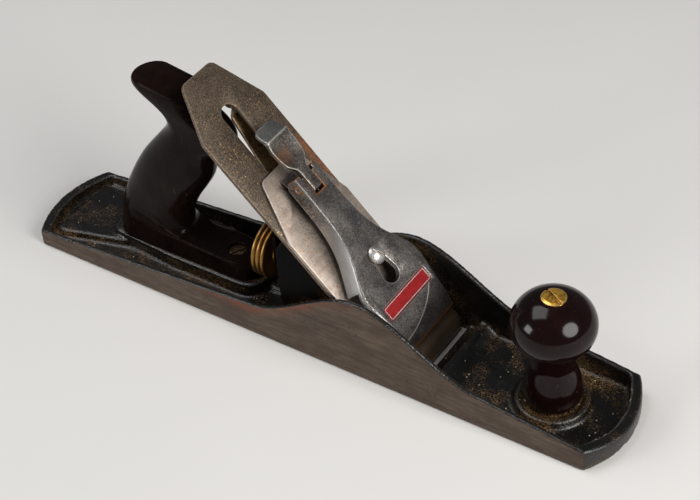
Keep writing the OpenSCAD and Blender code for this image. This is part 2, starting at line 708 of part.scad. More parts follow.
module cap_iron() color("lightgray") slope() difference() {
  steps = 20;
  intersection() {
    across(iron_w) polygon(concat(
      [for (i = [0:steps]) let (u = cap_iron_back + i * (hump_len + 1) / steps) [u, hump(u)]],
      [[cap_iron_top, cap_iron_t], [cap_iron_top, 0]],
      [for (i = [steps:-1:0]) let (u = cap_iron_back + i * (hump_len + 1) / steps) [u + eps, hump_under(u)]]
    ));
    translate([0, 0, -1]) linear_extrude(10) polygon(rounded([
      [0, -iron_w / 2, 0], [cap_iron_shoulder, -iron_w / 2, 5], [cap_iron_top, -cap_iron_top_w / 2, 4],
      [cap_iron_top, cap_iron_top_w / 2, 4], [cap_iron_shoulder, iron_w / 2, 5], [0, iron_w / 2, 0]
    ]));
  }
  translate([0, 0, -1]) {
    translate([cap_screw_u, 0, 0]) slot_bar(cap_screw_head_d + 1.4, depth_travel + 0.5, 5);
    translate([tongue_u - tongue_t / 2 - 0.4, -tongue_w / 2 - 0.4, 0]) cube([tongue_t + 0.8, tongue_w + 0.8, 5]);
    translate([cap_iron_screw_u, 0, 0]) cylinder(d = cap_iron_screw_d + 2 * running, h = 5);
  }
}

module cap_iron_screw() color("gray") slope() translate([cap_iron_screw_u, 0, -iron_t]) rotate([180, 0, 0])
  slotted_screw(cap_iron_screw_d, iron_t + cap_iron_t - 0.1, slot_w + 4.5, 2.6);

// Lever cap

cap_w = iron_w - 2 * cap_inset;

function cap_half(u) = cap_neck_w / 2
  + (cap_w - cap_neck_w) / 2 * exp(-pow(max(0, u - cap_shoulder) / cap_taper, 2));

// Plan of the cap drawn in by t, from its lower end to u_top
module cap_plan(t = 0) {
  steps = 26;
  side = [for (i = [0:steps]) let (u = mix(cap_shoulder, cap_top, i / steps)) [u, cap_half(u) - t]];
  low = cap_low + t * 1.2;
  polygon(concat(
    [[low, cap_w / 2 - 1.6 - t], [low + 1.6, cap_w / 2 - t]], side,
    [for (i = [steps:-1:0]) [side[i].x + (i == steps ? eps : 0), -side[i].y]],
    [[low + 1.6, -cap_w / 2 + t], [low, -cap_w / 2 + 1.6 + t]]
  ));
}

cap_edge_h = cap_iron_t + hump_h + pass;
key_narrow = cap_screw_d + 0.8;
key_wide = cap_screw_head_d + 1.6;

// Height of the cap's face, which falls to its lower edge
function face_h_at(u) = mix(cap_edge_h + cap_lip_t, cap_face_h, 1 - pow(max(0, 1 - (u - cap_low) / nose_len), 1.7));

nose_len = 19;

module lever_cap() color("lightslategray") slope() difference() {
  steps = 14;
  face = [for (i = [0:steps]) let (u = mix(cap_low, cap_low + nose_len, i / steps)) [u, face_h_at(u)]];
  intersection() {
    across(cap_w + 2) polygon(concat(
      face, [[cap_top - 0.8, cap_face_h], [cap_top, cap_face_h - 0.8], [cap_top, cam_h - 3.5], [cap_top - 3, cam_h - 6.2]],
      [[cam_u - 20, cam_h - 6.4], [cap_screw_u + 8, cap_edge_h + 0.4], [cap_low + 30, cap_edge_h - 0.8],
        [cap_low + 6, cap_edge_h - 0.8], [cap_low + 2.2, cap_edge_h], [cap_low, cap_edge_h]]
    ));
    linear_extrude(30) cap_plan();
  }
  // Hollow under the plate, open at the sides below the flanges
  intersection() {
    across(cap_w + 2) polygon(concat(
      [for (i = [3:steps]) [face[i].x + 1.2, face[i].y - cap_plate_t]],
      [[cap_top + 2, cap_face_h - cap_plate_t], [cap_top + 2, 0], [face[3].x + 1.2, 0]]
    ));
    translate([0, 0, -5]) linear_extrude(40) union() {
      cap_plan(cap_flange_t);
      translate([cap_low + 9, -cap_w]) square([flange_end - cap_low - 9, 2 * cap_w]);
    }
  }
  // Open top end between the prongs, and the notch for the cam
  translate([cap_top - 2, -cap_fork_w / 2, 0]) cube([10, cap_fork_w, 30]);
  translate([cam_u - cam_r - cam_throw - 1.2, -cam_w / 2 - pass, 0]) cube([30, cam_w + 2 * pass, 30]);
  // Keyhole, which widens evenly to its lower end
  translate([cap_screw_u, 0, 0]) {
    cylinder(d = key_narrow, h = 30);
    translate([-keyhole_travel, 0, 0]) cylinder(d = key_wide, h = 30);
    linear_extrude(30) polygon([
      [0, -key_narrow / 2], [0, key_narrow / 2], [-keyhole_travel, key_wide / 2], [-keyhole_travel, -key_wide / 2]
    ]);
  }
  // Pin holes
  translate([cam_u, -15, cam_h]) rotate([-90, 0, 0]) cylinder(d = cam_pin_d + 2 * running, h = 30);
  // Sunken panel
  translate([panel_u, 0, cap_face_h - panel_depth]) linear_extrude(5)
    polygon(rounded(mirrored([[-panel_h / 2, panel_w / 2, 1.6], [panel_h / 2, panel_w / 2, 1.6]])));
  translate([spring_rivet_u, 0, 0]) cylinder(d = spring_rivet_d + 2 * running, h = cap_face_h - 1.2);
}

module cam_pin() color("silver") slope() translate([cam_u, -cap_neck_w / 2 + 0.2, cam_h]) rotate([-90, 0, 0])
  cylinder(d = cam_pin_d, h = cap_neck_w - 0.4);

spring_len = 23.8;
spring_rivet_u = cam_u - spring_len;
spring_rivet_d = 4;
spring_t = 0.9;
spring_w = 11;
spring_root = 6;
spring_toe = 8;

module cap_spring() color("gray") slope() {
  root_h = cap_face_h - cap_plate_t - spring_t;
  cam_low = cam_h - cam_r - cam_throw - pass - spring_t;
  tip_h = cap_iron_t + 0.2;
  path = [
    [spring_rivet_u - spring_root, root_h], [spring_rivet_u + spring_root, root_h], [cam_u - spring_toe, cam_low + 0.9],
    [cam_u, cam_low], [cam_u + spring_toe / 2, tip_h + spring_t], [cam_u + spring_toe, tip_h]
  ];
  difference() {
    across(spring_w) polygon(concat(path, [for (i = [len(path) - 1:-1:0]) path[i] + [0, spring_t]]));
    translate([spring_rivet_u, 0, 0]) cylinder(d = spring_rivet_d + 2 * running, h = 30);
  }
}

module spring_rivet() color("gray") slope() translate([spring_rivet_u, 0, cap_face_h - cap_plate_t - spring_t]) {
  translate([0, 0, -0.8]) cylinder(d = spring_rivet_d + 2.6, h = 0.8);
  translate([0, 0, -0.1]) cylinder(d = spring_rivet_d, h = cap_plate_t + spring_t - 1.3);
}

// Right side of the thumb end: distance back from its tip, share of half its width, corner radius
thumb_side = [
  [29.3, 0.3, 0], [26.3, 0.41, 0], [23.8, 0.6, 4], [21, 0.88, 4], [17.5, 1, 6], [0, 0.96, 6.2]
];

module cam_lever() color("silver") slope() translate([cam_u, 0, cam_h]) {
  top_h = cap_face_h - cam_h + 0.9;
  neck_end = thumb_reach - 24;
  outline = [for (p = thumb_side) [thumb_reach - p.x, p.y * thumb_w / 2, p.z]];
  difference() {
    union() {
      // Cam round the pin
      translate([0, cam_w / 2, -cam_throw]) rotate([90, 0, 0]) cylinder(r = cam_r, h = cam_w);
      // Neck
      across(cam_w) polygon([
        [-4.4, 0], [-5.6, top_h - 2], [-3.4, top_h - 0.4], [neck_end, top_h + 0.5], [neck_end, top_h - 2.4],
        [6, top_h - 4.2], [cam_r * 0.8, -cam_throw]
      ]);
      // Thumb end, dished, with a ridge across it
      intersection() {
        across(thumb_w + 2) polygon([
          [neck_end - 5, top_h - 2.8], [neck_end - 5, top_h + 0.2], [thumb_reach - 12, top_h + 0.2],
          [thumb_reach - 8.4, top_h + 1.4], [thumb_reach - 6.4, top_h + 1.4], [thumb_reach - 4.6, top_h + 0.4],
          [thumb_reach - 1.6, top_h + 1], [thumb_reach, top_h + 0.4], [thumb_reach, top_h - 1],
          [thumb_reach - 6, top_h - 2.6]
        ]);
        translate([0, 0, -20]) linear_extrude(60) polygon(rounded(mirrored(outline)));
      }
    }
    translate([0, -15, 0]) rotate([-90, 0, 0]) cylinder(d = cam_pin_d + 2 * running, h = 30);
  }
}

module lever_cap_screw() color("gainsboro") slope() translate([cap_screw_u, 0, cap_face_h]) difference() {
  crown = 2.4;
  rim = 1;
  r = cap_screw_head_d / 2;
  ball = (r * r + crown * crown) / (2 * crown);
  union() {
    translate([0, 0, face_h - 15 - cap_face_h]) cylinder(d = cap_screw_d, h = cap_face_h - face_h + 15 + eps);
    cylinder(r = r, h = rim);
    intersection() {
      translate([0, 0, rim + crown - ball]) sphere(r = ball);
      translate([0, 0, rim - eps]) cylinder(r = r, h = 10);
    }
  }
  rotate([0, 0, -20]) translate([-10, -driver_w / 2, rim + crown - driver_d]) cube([20, driver_w, 10]);
}

// Tote: each row is rear x, rear z, front x, front z, half thickness as a share, end roundness, bow
tote_rows = [
  [-130.5, 0, -37.5, 0, 1, 1.0, 0],
  [-130.4, 2.5, -37.3, 3, 1, 1.0, 0],
  [-129.6, 7.5, -38.6, 7, 1, 1.0, 0],
  [-128.6, 12.5, -42, 9.8, 0.98, 1.0, 0],
  [-127.6, 17, -50, 10.8, 0.97, 1.0, 0],
  [-126.6, 21, -62, 10.6, 0.96, 1.0, 0],
  [-125.4, 25, -73, 10.8, 0.96, 1.1, 0],
  [-123.8, 29.5, -79.4, 12.8, 0.96, 1.2, 0],
  [-121.6, 34.5, -82.6, 17, 0.97, 1.3, 0],
  [-119, 39.5, -82.6, 23.4, 0.98, 1.4, 0],
  [-115.8, 45.5, -79.6, 30.5, 1, 1.45, 0],
  [-111.3, 53, -74.6, 39.3, 1, 1.45, 0],
  [-106, 60.8, -68.8, 47.7, 1, 1.4, 0],
  [-99.6, 68.8, -63.2, 57, 0.98, 1.35, 0],
  [-93.2, 76.4, -60.2, 66, 0.96, 1.25, 0],
  [-88.2, 82.8, -55.4, 73.2, 0.93, 1.15, 0],
  [-85.8, 88.2, -49, 78.4, 0.91, 1.1, 0],
  [-86.2, 93.2, -46.2, 83.8, 0.91, 1.05, 0],
  [-88.8, 97.6, -47.4, 87.4, 0.92, 1.0, 0.3],
  [-93, 101.2, -51, 90.3, 0.94, 1.0, 0.8],
  [-98.2, 104.4, -55.8, 92.6, 0.96, 1.0, 1.6],
  [-102.6, 107, -59.8, 95.6, 0.98, 1.0, 2.4],
  [-104.9, 109.2, -63, 100, 0.99, 1.0, 3],
  [-104.4, 111.2, -64.8, 104.6, 0.97, 1.0, 3.2]
];
quarter = 7;

// One ring of the tote: round ends joined by straight flanks, bowed up in the middle
function tote_ring(row) =
  let (a = [row[0], tote_z + row[1]], b = [row[2], tote_z + row[3]], chord = norm(b - a))
  let (half = tote_half * row[4], reach = min(chord / 2 - 0.4, half * row[5]))
  let (along = unit(b - a), up = [-along.y, along.x])
  let (side = concat(
    [for (i = [0:quarter]) [reach * (1 - cos(90 * i / quarter)), half * sin(90 * i / quarter)]],
    [for (i = [quarter:-1:0]) [chord - reach * (1 - cos(90 * i / quarter)), half * sin(90 * i / quarter)]]
  ))
  let (loop = concat(side, [for (i = [len(side) - 2:-1:1]) [side[i].x, -side[i].y]]))
  [for (p = loop) let (s = p.x / chord, q = a + along * p.x + up * row[6] * 4 * s * (1 - s)) [q.x, p.y, q.y]];

module tote_body() {
  rings = [for (row = tote_rows) tote_ring(row)];
  n = len(rings[0]);
  m = len(rings);
  half = 2 * quarter + 1;
  points = [for (ring = rings) each ring];
  walls = [for (j = [0:m - 2], i = [0:n - 1]) let (a = j * n + i, b = j * n + (i + 1) % n) each [[a, b, b + n], [a, b + n, a + n]]];
  // The two ends are closed by strips that join each point to its twin on the other flank
  function twin(i) = (n - i) % n;
  base = [for (i = [0:half - 1]) each i == 0 ? [[0, twin(1), 1]] : i == half - 1 ? [[i, twin(i), i + 1]] :
    [[i, twin(i), twin(i + 1)], [i, twin(i + 1), i + 1]]];
  lid = [for (f = base) [f[0] + (m - 1) * n, f[2] + (m - 1) * n, f[1] + (m - 1) * n]];
  polyhedron(points, concat(walls, base, lid));
}

nut_from = rod_len - 13;
toe_screw_seat = 6.4;

module tote() color("black") difference() {
  tote_body();
  rod_hole(rod_d + 2 * running, -5, rod_len + 10);
  rod_hole(tote_nut_d + 2 * running, nut_from, rod_len + 10);
  translate([toe_screw_x, 0, tote_z - 1]) cylinder(d = toe_screw_d + 2 * running, h = 30);
  translate([toe_screw_x, 0, tote_z + toe_screw_seat]) cylinder(d = toe_screw_head_d + 2 * running, h = 30);
}

module tote_rod() color("gray") rod_hole(rod_d, -7, nut_from + 6);

module tote_nut() color("goldenrod") translate([rod_base_x, 0, tote_z]) rotate([0, rod_tilt, 0])
  translate([0, 0, nut_from + 0.1]) difference() {
    cylinder(d = tote_nut_d, h = rod_len - nut_from - 1.6);
    translate([0, 0, -1]) cylinder(d = rod_d + 2 * running, h = 8);
    translate([-10, -driver_w / 2, rod_len - nut_from - 1.6 - driver_d]) cube([20, driver_w, 10]);
  }

module tote_toe_screw() color("gray") translate([toe_screw_x, 0, tote_z + toe_screw_seat]) rotate([0, 0, 60])
  slotted_screw(toe_screw_d, tote_z + toe_screw_seat - 2.2, toe_screw_head_d, 2.6);

// Knob

nut_head_t = 1.4;
knob_nut_from = knob_top - 15;

module knob() color("maroon") translate([knob_x, 0, knob_seat_z]) {
  top = knob_top - knob_seat_z;
  ball_z = top - knob_ball_h / 2;
  ball_r = knob_ball_d / 2;
  neck_r = knob_neck_d / 2;
  foot_r = knob_foot_d / 2;
  bell_z = 8.5;
  neck_z = 21;
  neck_flare = 1.06;
  join = acos(neck_r * neck_flare / ball_r);
  join_z = ball_z - knob_ball_h / 2 * sin(join);
  steps = 12;
  nut_rest = asin((knob_nut_d / 2 + 0.6) / ball_r);
  outline = concat(
    [[0, 0], [foot_r - 0.6, 0], [foot_r, 0.8], [foot_r, bell_z]],
    [for (i = [1:steps]) let (t = i / steps) [mix(foot_r, neck_r, (1 - cos(180 * t)) / 2), mix(bell_z, neck_z, t)]],
    [for (i = [1:steps - 1]) let (t = i / steps) [mix(neck_r, neck_r * neck_flare, t * t), mix(neck_z, join_z, t)]],
    [for (i = [0:24]) let (a = mix(-join, 90 - nut_rest, i / 24)) [ball_r * cos(a), ball_z + knob_ball_h / 2 * sin(a)]],
    [[0, ball_z + knob_ball_h / 2 * cos(nut_rest)]]
  );
  difference() {
    rotate_extrude($fn = 96) polygon(outline);
    translate([0, 0, -1]) cylinder(d = rod_d + 2 * running, h = 100);
    translate([0, 0, knob_nut_from - knob_seat_z]) cylinder(d = rod_d + 3 + 2 * running, h = 100);
    translate([0, 0, top - nut_head_t - 0.2]) cylinder(d = knob_nut_d + 2 * running, h = 100);
  }
}

module knob_rod() color("gray") translate([knob_x, 0, 1.6]) cylinder(d = rod_d, h = knob_nut_from + 8 - 1.6);

module knob_nut() color("goldenrod") translate([knob_x, 0, knob_nut_from + 0.1]) {
  stem = knob_top - nut_head_t - 0.2 - knob_nut_from - 0.1;
  difference() {
    union() {
      cylinder(d = rod_d + 3, h = stem + eps);
      translate([0, 0, stem]) cylinder(d = knob_nut_d, h = nut_head_t);
      translate([0, 0, stem + nut_head_t - eps]) cylinder(d1 = knob_nut_d, d2 = knob_nut_d - 2, h = 0.6);
    }
    translate([0, 0, -1]) cylinder(d = rod_d + 2 * running, h = 9.2);
    rotate([0, 0, 40]) translate([-10, -driver_w / 2, stem + nut_head_t + 0.6 - driver_d]) cube([20, driver_w, 10]);
  }
}

bed();
frog();
frog_screws();
frog_washers();
frog_adjusting_screw();
frog_adjusting_clip();
frog_clip_screw();
depth_nut();
depth_nut_stud();
yoke_lever();
yoke_pin();
lateral_lever();
lateral_disc();
lateral_rivet();
plane_iron();
cap_iron();
cap_iron_screw();
lever_cap();
cam_lever();
cam_pin();
cap_spring();
spring_rivet();
lever_cap_screw();
tote();
tote_rod();
tote_nut();
tote_toe_screw();
knob();
knob_rod();
knob_nut();
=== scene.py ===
import json
import math

import bmesh
import bpy
from mathutils import Matrix, Vector

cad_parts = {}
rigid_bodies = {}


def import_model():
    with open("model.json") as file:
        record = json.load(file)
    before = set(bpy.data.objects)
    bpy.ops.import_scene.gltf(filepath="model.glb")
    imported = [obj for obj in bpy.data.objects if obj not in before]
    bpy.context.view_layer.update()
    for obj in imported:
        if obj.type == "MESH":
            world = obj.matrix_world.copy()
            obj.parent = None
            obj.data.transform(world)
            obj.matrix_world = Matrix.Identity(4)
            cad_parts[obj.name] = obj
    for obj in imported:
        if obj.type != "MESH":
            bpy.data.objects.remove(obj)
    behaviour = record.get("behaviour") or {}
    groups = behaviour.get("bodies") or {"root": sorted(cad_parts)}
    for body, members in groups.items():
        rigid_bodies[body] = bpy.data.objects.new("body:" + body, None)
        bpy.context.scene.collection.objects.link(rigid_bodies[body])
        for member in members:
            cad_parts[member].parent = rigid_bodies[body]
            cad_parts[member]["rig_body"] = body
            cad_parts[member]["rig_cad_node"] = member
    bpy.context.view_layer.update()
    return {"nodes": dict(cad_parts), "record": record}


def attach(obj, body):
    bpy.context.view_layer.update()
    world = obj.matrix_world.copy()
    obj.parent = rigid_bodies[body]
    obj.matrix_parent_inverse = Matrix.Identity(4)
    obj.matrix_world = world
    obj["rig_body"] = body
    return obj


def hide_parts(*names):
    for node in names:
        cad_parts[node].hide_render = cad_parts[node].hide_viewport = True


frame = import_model()
nodes = frame["nodes"]
mm = 0.001
print("frame loaded:", len(nodes), "nodes")


# selecting and finishing

def leaveEdit():
    bpy.ops.object.mode_set(mode="OBJECT")


def selectAll():
    bpy.ops.mesh.select_all(action="SELECT")


def named(pieceName):
    # the piece just made, under its name
    piece = bpy.context.object
    piece.name = pieceName
    piece.data.name = pieceName
    return piece


def clearSelection():
    if bpy.context.object and bpy.context.object.mode != "OBJECT":
        leaveEdit()
    bpy.ops.object.select_all(action="DESELECT")


def choose(piece):
    clearSelection()
    piece.select_set(True)
    bpy.context.view_layer.objects.active = piece


def edit(piece, mode="FACE"):
    choose(piece)
    bpy.ops.object.mode_set(mode="EDIT")
    bpy.ops.mesh.select_mode(type=mode)


def selectFaces(piece, test):
    shape = bmesh.from_edit_mesh(piece.data)
    for face in shape.faces:
        face.select_set(False)
    for face in shape.faces:
        if test(face.calc_center_median(), face.normal):
            face.select_set(True)
    shape.select_flush_mode()
    bmesh.update_edit_mesh(piece.data)


def modify(piece, kind, **settings):
    modifier = piece.modifiers.new(kind.lower(), kind)
    for key, value in settings.items():
        setattr(modifier, key, value)
    choose(piece)
    bpy.ops.object.modifier_apply(modifier=modifier.name)


def bevelEdges(piece, width, segments=2, angle=30):
    modify(piece, "BEVEL", width=width, segments=segments, limit_method="ANGLE",
           angle_limit=math.radians(angle), use_clamp_overlap=False, harden_normals=False)


def carve(piece, cutter, operation="DIFFERENCE"):
    modify(piece, "BOOLEAN", operation=operation, object=cutter, solver="EXACT")
    clearSelection()
    cutter.select_set(True)
    bpy.ops.object.delete()


def place(piece, matrix=None):
    # puts the piece where it belongs and leaves its object at the origin
    choose(piece)
    if matrix is not None:
        piece.matrix_world = matrix @ piece.matrix_world
    bpy.ops.object.transform_apply(location=True, rotation=True, scale=True)


def finish(piece, body, slotName, material, *replaced, angle=35):
    choose(piece)
    if angle:
        bpy.ops.object.shade_smooth_by_angle(angle=math.radians(angle))
    if material is not None:
        piece.data.materials.clear()
        piece.data.materials.append(material)
    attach(piece, body)
    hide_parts(*replaced)


def copyOf(nodeName, pieceName):
    # a free copy of a CAD node, its triangles merged at their corners and its flat faces joined
    choose(nodes[nodeName])
    bpy.ops.object.duplicate()
    piece = named(pieceName)
    bpy.ops.object.parent_clear(type="CLEAR_KEEP_TRANSFORM")
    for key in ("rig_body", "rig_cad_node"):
        if key in piece:
            del piece[key]
    bpy.ops.object.mode_set(mode="EDIT")
    selectAll()
    bpy.ops.mesh.remove_doubles(threshold=0.000004)
    bpy.ops.mesh.dissolve_limited(angle_limit=math.radians(0.6))
    leaveEdit()
    return piece


def dressed(nodeName, pieceName, slotName, material, bevel):
    piece = copyOf(nodeName, pieceName)
    bevelEdges(piece, bevel * mm)
    finish(piece, bodyOf[nodeName], slotName, material, nodeName)


bodyOf = {}
for bodyName, members in frame["record"]["behaviour"]["bodies"].items():
    for member in members:
        bodyOf[member] = bodyName


def turned(pieceName, profile, segments):
    # one circle, extruded and scaled from ring to ring, open between the last ring and the first;
    # the profile is radius and height in millimetres
    radius, height = profile[0]
    clearSelection()
    bpy.ops.mesh.primitive_circle_add(vertices=segments, radius=radius * mm, location=(0, 0, height * mm),
                                      fill_type="NOTHING")
    piece = named(pieceName)
    place(piece)
    edit(piece, "EDGE")
    selectAll()
    for nextRadius, nextHeight in profile[1:]:
        rise = (nextHeight - height) * mm
        bpy.ops.mesh.extrude_edges_move(TRANSFORM_OT_translate={"value": (0, 0, rise)})
        share = nextRadius / radius
        if abs(share - 1) > 1e-6:
            bpy.ops.transform.resize(value=(share, share, 1), center_override=(0, 0, nextHeight * mm))
        radius, height = nextRadius, nextHeight
    selectAll()
    bpy.ops.mesh.remove_doubles(threshold=0.000012)
    bpy.ops.mesh.normals_make_consistent(inside=False)
    leaveEdit()
    return piece


def shift(x, z=0.0):
    return Matrix.Translation((x * mm, 0, z * mm))


def placedCutter(matrix):
    cutter = bpy.context.object
    place(cutter)
    if matrix is not None:
        place(cutter, matrix)
    return cutter


def rodCutter(radius, low, high, matrix=None, sides=48):
    # a round bar along z from low to high, then placed by the matrix
    clearSelection()
    bpy.ops.mesh.primitive_cylinder_add(vertices=sides, radius=radius * mm, depth=(high - low) * mm,
                                        location=(0, 0, (high + low) / 2 * mm))
    return placedCutter(matrix)


def boxCutter(low, high):
    # a box between two corners in millimetres
    clearSelection()
    middle = [(a + b) / 2 * mm for a, b in zip(low, high)]
    bpy.ops.mesh.primitive_cube_add(size=1, location=middle)
    bpy.context.object.scale = [(b - a) * mm for a, b in zip(low, high)]
    return placedCutter(None)


def flow(points, at):
    # a smooth line through (place, value) pairs
    at = min(max(at, points[0][0]), points[-1][0])
    k = next(i for i in range(len(points) - 1) if at <= points[i + 1][0])
    (a, p), (b, q) = points[k], points[k + 1]
    before, after = points[max(k - 1, 0)], points[min(k + 2, len(points) - 1)]
    leaving = (q - before[1]) / (b - before[0]) * (b - a)
    arriving = (after[1] - p) / (after[0] - a) * (b - a)
    t = (at - a) / (b - a)
    return (p * (2 * t ** 3 - 3 * t ** 2 + 1) + leaving * (t ** 3 - 2 * t ** 2 + t)
            + q * (3 * t ** 2 - 2 * t ** 3) + arriving * (t ** 3 - t ** 2))


def straight(points, at):
    # straight lines through (place, value) pairs
    for (a, p), (b, q) in zip(points, points[1:]):
        if at <= b:
            return p + (q - p) * max(0, at - a) / (b - a)
    return points[-1][1]


def loft(pieceName, rings):
    # closed rings of points in millimetres, joined in order and merged where they meet
    count = len(rings[0])
    clearSelection()
    bpy.ops.mesh.primitive_grid_add(x_subdivisions=count, y_subdivisions=len(rings) - 1, size=2)
    piece = named(pieceName)
    edit(piece, "VERT")
    shape = bmesh.from_edit_mesh(piece.data)
    for vert in shape.verts:
        i = round((vert.co.x + 1) / 2 * count) % count
        j = round((vert.co.y + 1) / 2 * (len(rings) - 1))
        vert.co = Vector(rings[j][i]) * mm
    bmesh.update_edit_mesh(piece.data)
    selectAll()
    bpy.ops.mesh.remove_doubles(threshold=0.000003)
    bpy.ops.mesh.dissolve_degenerate(threshold=0.000002)
    bpy.ops.mesh.normals_make_consistent(inside=False)
    leaveEdit()
    return piece


def lidOf(ring):
    # the ring folded flat along its middle, to close the end of a loft
    middle = [[(a + b) / 2 for a, b in zip(ring[k], ring[-1 - k])] for k in range(len(ring) // 2)]
    return middle + middle[::-1]


def joinFlat(piece, angle):
    # joins faces that lie in one plane
    edit(piece)
    selectAll()
    bpy.ops.mesh.dissolve_limited(angle_limit=math.radians(angle))
    leaveEdit()


# local x runs up the slope, local z stands off the iron's face, local y points to the near side
# and its origin is where the iron's face meets the sole
edgeX = 0.0693
slopeRoot = 0.70710678
slopeMatrix = Matrix(((-slopeRoot, 0, slopeRoot, edgeX), (0, -1, 0, 0),
                      (slopeRoot, 0, slopeRoot, 0), (0, 0, 0, 1)))


# Shader helpers. Each adds its nodes to the tree in hand, that of the material or group begun last.

inHand = {}


def tint(red, green, blue):
    # a colour read in 0 to 255, made linear
    steps = [value / 255 for value in (red, green, blue)]
    return tuple(v / 12.92 if v <= 0.04045 else ((v + 0.055) / 1.055) ** 2.4 for v in steps) + (1,)


def join(value, target):
    # links a socket to the target, or sets the target to a plain value
    if isinstance(value, bpy.types.NodeSocket):
        inHand["tree"].links.new(value, target)
    else:
        target.default_value = value


def addNode(kind, inputs=None, **settings):
    made = inHand["tree"].nodes.new(kind)
    for key, value in settings.items():
        setattr(made, key, value)
    for key, value in (inputs or {}).items():
        join(value, made.inputs[key])
    return made


def calc(operation, *values, clamp=False):
    return addNode("ShaderNodeMath", dict(enumerate(values)), operation=operation, use_clamp=clamp).outputs[0]


def times(first, *others):
    for other in others:
        first = calc("MULTIPLY", first, other)
    return first


def plus(first, second):
    return calc("ADD", first, second)


def minus(first, second):
    return calc("SUBTRACT", first, second)


def timesPlus(first, second, added):
    return calc("MULTIPLY_ADD", first, second, added)


def larger(first, second):
    return calc("MAXIMUM", first, second)


def absolute(value):
    return calc("ABSOLUTE", value)


def mixed(factor, first, second):
    return addNode("ShaderNodeMix", {0: factor, 6: first, 7: second}, data_type="RGBA").outputs[2]


def mixedValue(factor, first, second):
    return addNode("ShaderNodeMix", {0: factor, 2: first, 3: second}, data_type="FLOAT").outputs[0]


def painted(color, tone, mask, strength):
    # the colour with a tone laid over it where the mask is high
    return mixed(times(mask, strength), color, tone)


def between(value, low, high, start=0.0, end=1.0):
    # a smooth step from start to end while the value goes from low to high, which may be the smaller one
    return addNode("ShaderNodeMapRange", {"Value": value, "From Min": low, "From Max": high, "To Min": start,
                                          "To Max": end}, interpolation_type="SMOOTHSTEP").outputs["Result"]


def noiseOf(vector, scale, detail=3.0, roughness=0.5, distortion=0.0):
    return addNode("ShaderNodeTexNoise", {"Vector": vector, "Scale": scale, "Detail": detail,
                                          "Roughness": roughness, "Distortion": distortion}).outputs["Fac"]


def stretched(vector, scale, turn=(0, 0, 0)):
    return addNode("ShaderNodeMapping", {"Vector": vector, "Scale": scale,
                                         "Rotation": tuple(math.radians(t) for t in turn)}).outputs["Vector"]


def axesOf(vector):
    return addNode("ShaderNodeSeparateXYZ", {0: vector}).outputs


def normalWay():
    return addNode("ShaderNodeTexCoord").outputs["Normal"]


def newGroup(name, inputs, outputs):
    group = bpy.data.node_groups.new(name, "ShaderNodeTree")
    inHand["tree"] = group
    for socketName in inputs:
        kind = "NodeSocketVector" if socketName in ("Vector", "Stretch") else "NodeSocketFloat"
        group.interface.new_socket(socketName, in_out="INPUT", socket_type=kind)
    for socketName in outputs:
        group.interface.new_socket(socketName, in_out="OUTPUT", socket_type="NodeSocketFloat")
    return group, addNode("NodeGroupInput").outputs, addNode("NodeGroupOutput").inputs


def useGroup(group, *values):
    return addNode("ShaderNodeGroup", dict(enumerate(values)), node_tree=group).outputs


def maskOf(group, *values):
    return useGroup(group, *values)["Mask"]


def makeEdgeWearAndHighlight():
    # patches along the outer edges, used for wear and for painted highlights on edges
    group, start, end = newGroup("edgeWearAndHighlight", ["Vector", "Reach", "Scale", "Amount"], ["Mask"])
    inner = addNode("ShaderNodeAmbientOcclusion", {"Distance": start["Reach"]}, inside=True, only_local=True,
                    samples=6).outputs["AO"]
    edge = between(inner, 0.92, 0.45)
    patches = noiseOf(start["Vector"], start["Scale"], 4.0, 0.6)
    low = minus(0.95, start["Amount"])
    breakup = between(plus(patches, 0.15), low, plus(low, 0.35))
    join(calc("MULTIPLY", edge, breakup, clamp=True), end["Mask"])
    return group


def makeDustAndShade():
    # grains that thicken towards the inner corners, used for dust and for painted shade in corners
    group, start, end = newGroup("dustAndShadeInCorners", ["Vector", "Reach", "Scale", "Amount"], ["Mask"])
    outer = addNode("ShaderNodeAmbientOcclusion", {"Distance": start["Reach"]}, samples=6).outputs["AO"]
    corner = between(outer, 0.97, 0.3)
    broad = noiseOf(start["Vector"], start["Scale"], 4.0, 0.65, 0.4)
    fine = noiseOf(start["Vector"], 1250.0, 3.0, 0.7)
    level = timesPlus(corner, start["Amount"], times(minus(broad, 0.5), 1.1))
    low = timesPlus(level, -0.5, 0.74)
    join(between(fine, low, plus(low, 0.1)), end["Mask"])
    return group


def makeSpecks():
    # single dots, in some cells of a grid only
    group, start, end = newGroup("specks", ["Vector", "Scale", "Fill", "Size"], ["Mask"])
    cells = addNode("ShaderNodeTexVoronoi", {"Vector": start["Vector"], "Scale": start["Scale"]})
    lot = addNode("ShaderNodeSeparateColor", {0: cells.outputs["Color"]}).outputs[0]
    chosen = calc("LESS_THAN", lot, start["Fill"])
    dot = between(cells.outputs["Distance"], start["Size"], times(start["Size"], 0.4))
    join(times(dot, chosen), end["Mask"])
    return group


def makeSpeckle():
    # ragged spots that gather in clumps
    group, start, end = newGroup("speckle", ["Vector", "Scale", "Fill", "Clumping"], ["Mask"])
    fine = noiseOf(start["Vector"], start["Scale"], 2.0, 0.55)
    clump = noiseOf(start["Vector"], times(start["Scale"], 0.12), 3.0, 0.6)
    pull = times(minus(clump, 0.5), start["Clumping"])
    low = minus(0.86, start["Fill"])
    join(between(plus(fine, pull), low, plus(low, 0.09)), end["Mask"])
    return group


def makeGrindMarks():
    # lines left by grinding, drawn out along the axis with the lowest stretch
    group, start, end = newGroup("grindMarks", ["Vector", "Stretch"], ["Height", "Tone"])
    drawn = addNode("ShaderNodeVectorMath", {0: start["Vector"], 1: start["Stretch"]},
                    operation="MULTIPLY").outputs[0]
    both = plus(times(noiseOf(drawn, 1.0, 4.0, 0.7), 0.6), times(noiseOf(drawn, 0.22, 2.0, 0.5), 0.4))
    join(both, end["Height"])
    join(between(both, 0.32, 0.68), end["Tone"])
    return group


